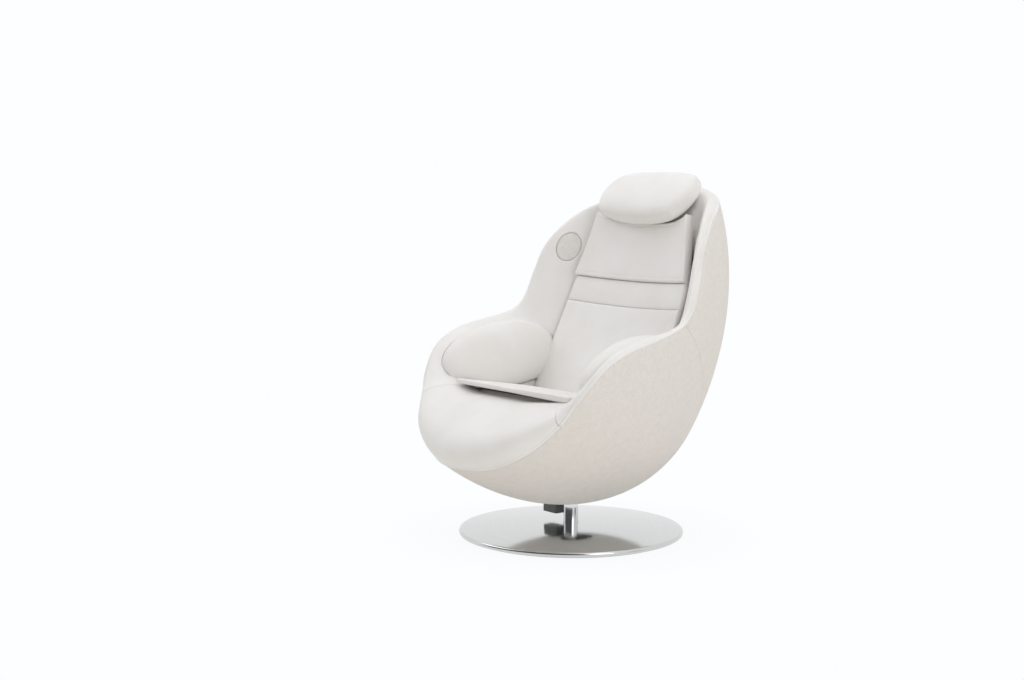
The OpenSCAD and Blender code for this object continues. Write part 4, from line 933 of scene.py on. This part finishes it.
def liner(name):
    """Leather of one side, drawn to the bolster, sunk for the grille, and tucked in along the well."""
    us = LIP_KNOT + .004 + (LAST - LIP_KNOT - .006) * stations(1500, 7.5, EDGE)
    us = np.sort(np.concatenate([us, np.arange(GRILLE_U - .42, GRILLE_U + .42, .018)]))
    front, back = leather_roll(us)
    way = Vector(BOLSTER_M[:, 2])
    front, hit = hug(front, bolster, way, HUG_WIDE)
    front = eased(front, spread(hit, 4) * (1 - hit * .8), 6)
    front, _ = hug(front, bolster, way, HUG_CLOSE)
    place = (front - GRILLE_C) @ np.linalg.inv(GRILLE_M).T
    r = np.linalg.norm(place[..., :2], axis=-1)
    level = place[..., 2] * (1 - grow(r, PATCH_R, PATCH_R - PATCH_BORDER))
    sunk = RECESS_T * smooth(grow(r, RECESS_R, RECESS_R - RECESS_BORDER))
    flat = front + GRILLE_N * (level - place[..., 2] - sunk)[..., None]
    front = np.where(((r < PATCH_R) & (np.abs(place[..., 2]) < PATCH_H))[..., None], flat, front)
    edge, under = roll_frame(us)[5:]
    last = front[:, -1:]
    crown = grow(us, CROWN_FROM, CROWN_FULL)[:, None, None]
    across = np.clip(last[..., 0] / BEHIND_W, 0, .97)
    depth = np.full(across.shape, -MAT_T - BEHIND_GAP)
    behind = mat_grid(across, np.full(across.shape, BEHIND_S), depth)
    rows = last + (crown * (behind - last) - (1 - crown) * edge * TUCK) * TUCK_ROWS
    front = np.concatenate([front, rows], 1)
    back = np.concatenate([back, rows + under * TUCK_T], 1)
    return closed_grid(name, front, back)


liner_left = liner("liner_left_leather")
padded(mirrored(liner_left, "liner_right_leather"), .9, "shell", "liner_right")
padded(liner_left, .9, "shell", "liner_left")


# The lip's leather stands higher towards the sitter's left, as in the photo. It runs on from the well's
# edge up under the seat pad, in rows given by their distance from the edge and their share of the rise
LIP_RISE = 10
RISE_FROM_X = 40
RISE_FULL_X = 190
LIP_ROWS = ((4, .12), (9, .45), (14, .8), (20, .97), (28, 1))
LIP_GAP = 1.4
LIP_EDGE_T = 3
LIP_FOOT_T = 17


def lip(name):
    us = (LIP_KNOT - .004) * (2 * stations(1000, 8, EDGE) - 1)
    front, back = leather_roll(us, np.where(us < 0, -1.0, 1.0))
    left = smooth(grow(front[..., 0], RISE_FROM_X, RISE_FULL_X))
    front[..., 2] += LIP_RISE * left * grow(LINER_VS, .55, .85) ** 2
    slope = math.tan(math.radians(SLOPE))
    thick = MAT_T / math.cos(math.radians(SLOPE))
    for step, share in LIP_ROWS:
        place = front[:, len(LINER_VS) - 1].copy()
        place[:, 1] += step
        under = CREASE_Z + (CREASE_Y - place[:, 1]) * slope - thick
        place[:, 2] += (under - LIP_GAP - place[:, 2]) * share
        low = place.copy()
        low[:, 2] -= LIP_EDGE_T + LIP_FOOT_T * (1 - share)
        front = np.concatenate([front, place[:, None]], 1)
        back = np.concatenate([back, low[:, None]], 1)
    return closed_grid(name, front, back)


padded(lip("front_lip_leather"), .9, "shell", "front_lip")


# Loudspeaker grilles: cloth over a shallow dome with a rounded edge, set in the liner's recess
FACE_R = 34
GRILLE_R = 37.4
FACE_TOP = .6
FACE_DOME = 1.2
EDGE_DROP = 2.2
GRILLE_FOOT = -4


def grille(name):
    a = np.radians(np.arange(10, 91, 10))
    r = np.concatenate([np.linspace(.01, FACE_R, 14), FACE_R + (GRILLE_R - FACE_R) * np.sin(a)])
    drop = np.concatenate([np.zeros(14), EDGE_DROP * (1 - np.cos(a))])
    top = FACE_TOP - FACE_DOME * (r / GRILLE_R) ** 2 - drop
    under = np.stack([[GRILLE_R, .01], [GRILLE_FOOT, GRILLE_FOOT]], -1)
    profile = np.concatenate([np.stack([r, top], -1), under])
    return lathe(name, profile, 96, GRILLE_M, GRILLE_C)


grille_left = grille("grille_left_cloth")
grille_right = mirrored(grille_left, "grille_right_cloth")
dress(grille_left, "shell", "melange_fabric", "grille_left", material="grille_cloth")
dress(grille_right, "shell", "melange_fabric", "grille_right", material="grille_cloth")


# Back mat in three panels, with the places of its two seams on the mat's curve
MAT_LENGTH = 700
MAT_WIDTH = 400
MAT_FROM = -.03
SEAM_LOW = .42
SEAM_HIGH = .55
MAT_TO = .835
SEAM_GAP = .0003
MAT_TURN = (5.5, 4.6)


def mat_panel(name, first, last, node, flare, proud=0, corner=0, puff=2.6, reach_in=26, hem=0):
    """Padded panel between two places of the mat's curve.

    proud is how far it stands off the others, corner how far its top corners reach on, puff its rise, over
    reach_in mm from an edge, hem the depth of a sewn line, and flare the width of its face over its back.
    """
    near = HEM if hem else EDGE
    rows = stations((last - first) * MAT_LENGTH, 6, near)
    cols = 2 * stations(MAT_WIDTH, 7, near) - 1
    share, x = np.meshgrid(rows, cols, indexing="ij")
    s = first + (last + corner * x ** 4 - first) * share
    top = mat_grid(x * flare, s, np.full(s.shape, float(proud)))
    low = mat_grid(x, s, np.full(s.shape, -MAT_T))
    along = side_distance(top, 0)
    d = np.minimum(side_distance(top, 1), along)
    soft = ripple(top, 150, 2.2) * .8 + ripple(top, 60, 9.4) * .25
    tension = np.sin(top[..., 0] / 6 + 2 * ripple(top, 90, 4.4)) * np.exp(-along / 14) * .35
    height = puff * (1 - np.exp(-d / reach_in)) - puff * .7 + (soft + tension) * grow(d, 0, 22)
    depth = rolled(d, *MAT_TURN) + groove(d, 9.4, 1.2, hem)
    top = top + unit(top - low) * (height - depth)[..., None]
    return padded(closed_grid(name, top, low), .9, "shell", node)


mat_panel("mat_lower_leather", MAT_FROM, SEAM_LOW - SEAM_GAP, "mat_lower", flare=1.015)
mat_panel("mat_band_leather", SEAM_LOW + SEAM_GAP, SEAM_HIGH - SEAM_GAP, "mat_band", puff=4.2, reach_in=20,
          flare=1.015)
mat_panel("mat_upper_leather", SEAM_HIGH + SEAM_GAP, MAT_TO, "mat_upper", proud=8, corner=.042, puff=1.8,
          reach_in=20, hem=.9, flare=1.03)


# Strap of the pillow, over the crown and up to the line on which the pillow turns
joints = {joint["name"]: joint for joint in frame["record"]["behaviour"]["joints"]}
HINGE = np.array(joints["pillow_flip"]["pos_m"]) * 1000
# Its place on the roll: entries of the rim to either side of the crown, and shares of the roll's way in
STRAP_HALF_U = .6
STRAP_V = 1 / 9
STRAP_RUN = 4 / 9
STRAP_WIDTH = 114
STRAP_LENGTH = 80
# Its two faces, as heights over the leather and as drops behind and under the hinge, where it is narrower
STRAP_TOP = 3.8
STRAP_UNDER = .9
TOP_DROP = 3
UNDER_DROP = 5.5
NARROWER = .85


def strap(name):
    us = STRAP_HALF_U * (2 * stations(STRAP_WIDTH, 5, EDGE) - 1)
    vs = STRAP_V + STRAP_RUN * stations(STRAP_LENGTH, 4, EDGE)
    top = liner_grid(LAST - np.abs(us), vs)
    top[us > 0, :, 0] *= -1
    n = grid_normals(top)
    n = n * (1 if n[len(us) // 2, 5, 2] > 0 else -1)
    d = np.minimum(side_distance(top, 0), side_distance(top, 1))
    low = top + n * STRAP_UNDER
    top = top + n * (STRAP_TOP - rolled(d, 1.6, 1.4) - groove(d, 5, .8, .5))[..., None]
    sides = []
    for g, drop in ((top, TOP_DROP), (low, UNDER_DROP)):
        last = g[:, -1:]
        goal = last * [NARROWER, 0, 0] + [0, HINGE[1] + drop, HINGE[2] - drop]
        sides.append(np.concatenate([g] + [last + (goal - last) * share for share in (.3, .65, 1)], 1))
    return dress(closed_grid(name, *sides), "shell", "padded_leather", "pillow_strap")


strap("pillow_strap_leather")


# Base disc of sheet steel, with a domed top and a smoothly rolled edge
DISC_BORE = 20.4
DOME_R = 293
DOME_EDGE_Z = 16
DOME_RISE = 15
SHEET_T = 3
ROLL_C = np.array([DOME_R, 9])
ROLL_R = 7
TURNED_IN_R = 240


def arc(first, last, count):
    """Unit points over a range of degrees."""
    a = np.radians(np.linspace(first, last, count))[:, None]
    return np.concatenate([np.cos(a), np.sin(a)], 1)


def base_disc(name):
    r = np.linspace(DISC_BORE, DOME_R, 48)
    dome = np.stack([r, DOME_EDGE_Z + DOME_RISE * (1 - (r / DOME_R) ** 2)], -1)
    nose = ROLL_C + ROLL_R * arc(82, -90, 30)
    foot_z = ROLL_C[1] - ROLL_R
    foot = np.array([[TURNED_IN_R, foot_z], [TURNED_IN_R, foot_z + SHEET_T]])
    inside = ROLL_C + (ROLL_R - SHEET_T) * arc(-90, 80, 16)
    return lathe(name, np.concatenate([dome, nose, foot, inside, dome[::-1] - [0, SHEET_T]]), 256)


dress(base_disc("base_disc_steel"), "base", "brushed_disc", "base_disc")


# Stage, light and camera
def area(name, size, power, place, aim=(0, 0, .5)):
    light = bpy.data.lights.new(name, "AREA")
    light.color = (.97, .985, 1)
    light.shape = "RECTANGLE"
    light.size, light.size_y = size
    light.energy = power
    ob = bpy.data.objects.new(name, light)
    scene.collection.objects.link(ob)
    ob.location = place
    ob.rotation_euler = (Vector(aim) - Vector(place)).to_track_quat("-Z", "Y").to_euler()
    return ob


def seen(tree):
    """1 for the rays that show the backdrop itself: camera, glossy and transmission rays."""
    path = add(tree, "ShaderNodeLightPath")
    either = math_node(tree, "MAXIMUM", path.outputs["Is Camera Ray"], path.outputs["Is Glossy Ray"])
    return math_node(tree, "MAXIMUM", either, path.outputs["Is Transmission Ray"])


def towards(tree, vec, deg, low, high):
    """Grows from 0 to 1 as a direction turns to a compass angle; low and high are the cosines for that."""
    a = math.radians(deg)
    dot = add(tree, "ShaderNodeVectorMath", operation="DOT_PRODUCT")
    dot.inputs[1].default_value = (math.cos(a), math.sin(a), 0)
    tree.links.new(vec, dot.inputs[0])
    return remap(tree, dot.outputs["Value"], low, high, 0, 1)


PAPER = (.98, .99, 1, 1)
CARD = (.92, .9, .87, 1)
UNLIT_SIDE = (.1, .11, .11, 1)
AMBIENT = .73
FRONT_LOSS = .28
FLOOR_HALF = 9


def make_world():
    """Paper for the camera, ambient light for the rest, and an unlit side that only gloss picks up."""
    world = bpy.data.worlds.new("studio")
    scene.world = world
    world.use_nodes = True
    tree = world.node_tree
    tree.nodes.clear()
    out = add(tree, "ShaderNodeOutputWorld")
    ambient = add(tree, "ShaderNodeBackground", Color=(1, 1, 1, 1))
    paper = add(tree, "ShaderNodeBackground", Color=PAPER, Strength=1.0)
    unlit_side = add(tree, "ShaderNodeBackground", Color=UNLIT_SIDE, Strength=1.0)
    way = add(tree, "ShaderNodeTexCoord").outputs["Generated"]
    # Less light comes from where the chair looks
    less = math_node(tree, "MULTIPLY", towards(tree, way, -95, .1, .9), FRONT_LOSS)
    tree.links.new(math_node(tree, "SUBTRACT", AMBIENT, less), ambient.inputs["Strength"])
    broad = towards(tree, way, -75, .35, .6)
    narrow = towards(tree, way, 28, .984, .993)
    unlit = math_node(tree, "MAXIMUM", broad, narrow)
    unlit = math_node(tree, "MULTIPLY", unlit, add(tree, "ShaderNodeLightPath").outputs["Is Glossy Ray"])
    shown = mixed(tree, seen(tree), ambient.outputs[0], paper.outputs[0])
    tree.links.new(mixed(tree, unlit, shown, unlit_side.outputs[0]), out.inputs[0])


def make_floor():
    """Card that takes the chair's shadow near the disc, and is paper for the camera further out."""
    mesh = bpy.data.meshes.new("floor")
    corners = [(x * FLOOR_HALF, y * FLOOR_HALF, 0) for x, y in ((-1, -1), (1, -1), (1, 1), (-1, 1))]
    mesh.from_pydata(corners, [], [(0, 1, 2, 3)])
    floor = bpy.data.objects.new("floor", mesh)
    scene.collection.objects.link(floor)
    material = bpy.data.materials.new("floor_paper")
    material.use_nodes = True
    tree = material.node_tree
    tree.nodes.clear()
    out = add(tree, "ShaderNodeOutputMaterial")
    card = add(tree, "ShaderNodeBsdfDiffuse", Color=CARD)
    glow = add(tree, "ShaderNodeEmission", Color=PAPER, Strength=1.0)
    far = add(tree, "ShaderNodeVectorMath", operation="LENGTH")
    tree.links.new(add(tree, "ShaderNodeTexCoord").outputs["Object"], far.inputs[0])
    share = remap(tree, far.outputs["Value"], .32, .55, .93, 1)
    share = math_node(tree, "MULTIPLY", seen(tree), share)
    tree.links.new(mixed(tree, share, card.outputs[0], glow.outputs[0]), out.inputs[0])
    floor.data.materials.append(material)


make_world()
make_floor()
area("key_softbox", (2.6, 2.0), 21, (-1.8, -1.6, 2.9))
area("top_softbox", (2.6, 2.6), 20, (.2, .2, 3.3))
area("side_softbox", (1.6, 2.2), 20, (3.4, -.6, 1.6))
# What the steel disc throws back up under the shell
bounce = area("disc_bounce", (.4, .4), .12, (0, -.05, .045), (0, -.05, 1))
bounce.visible_camera = False
bounce.visible_glossy = False

# The photo's camera, fitted to the disc, the column, the rim and the seat
CAMERA_PLACE = (3.3783, -2.8347, .9798)
CAMERA_WAY = Vector((-.7843, .6117, -.1037))
camera = bpy.data.cameras.new("camera")
camera.lens = 58.78
camera.sensor_width = 36
camera.clip_end = 60
camera_ob = bpy.data.objects.new("camera", camera)
scene.collection.objects.link(camera_ob)
camera_ob.location = CAMERA_PLACE
camera_ob.rotation_euler = CAMERA_WAY.to_track_quat("-Z", "Y").to_euler()
scene.camera = camera_ob
scene.view_settings.view_transform = "Standard"
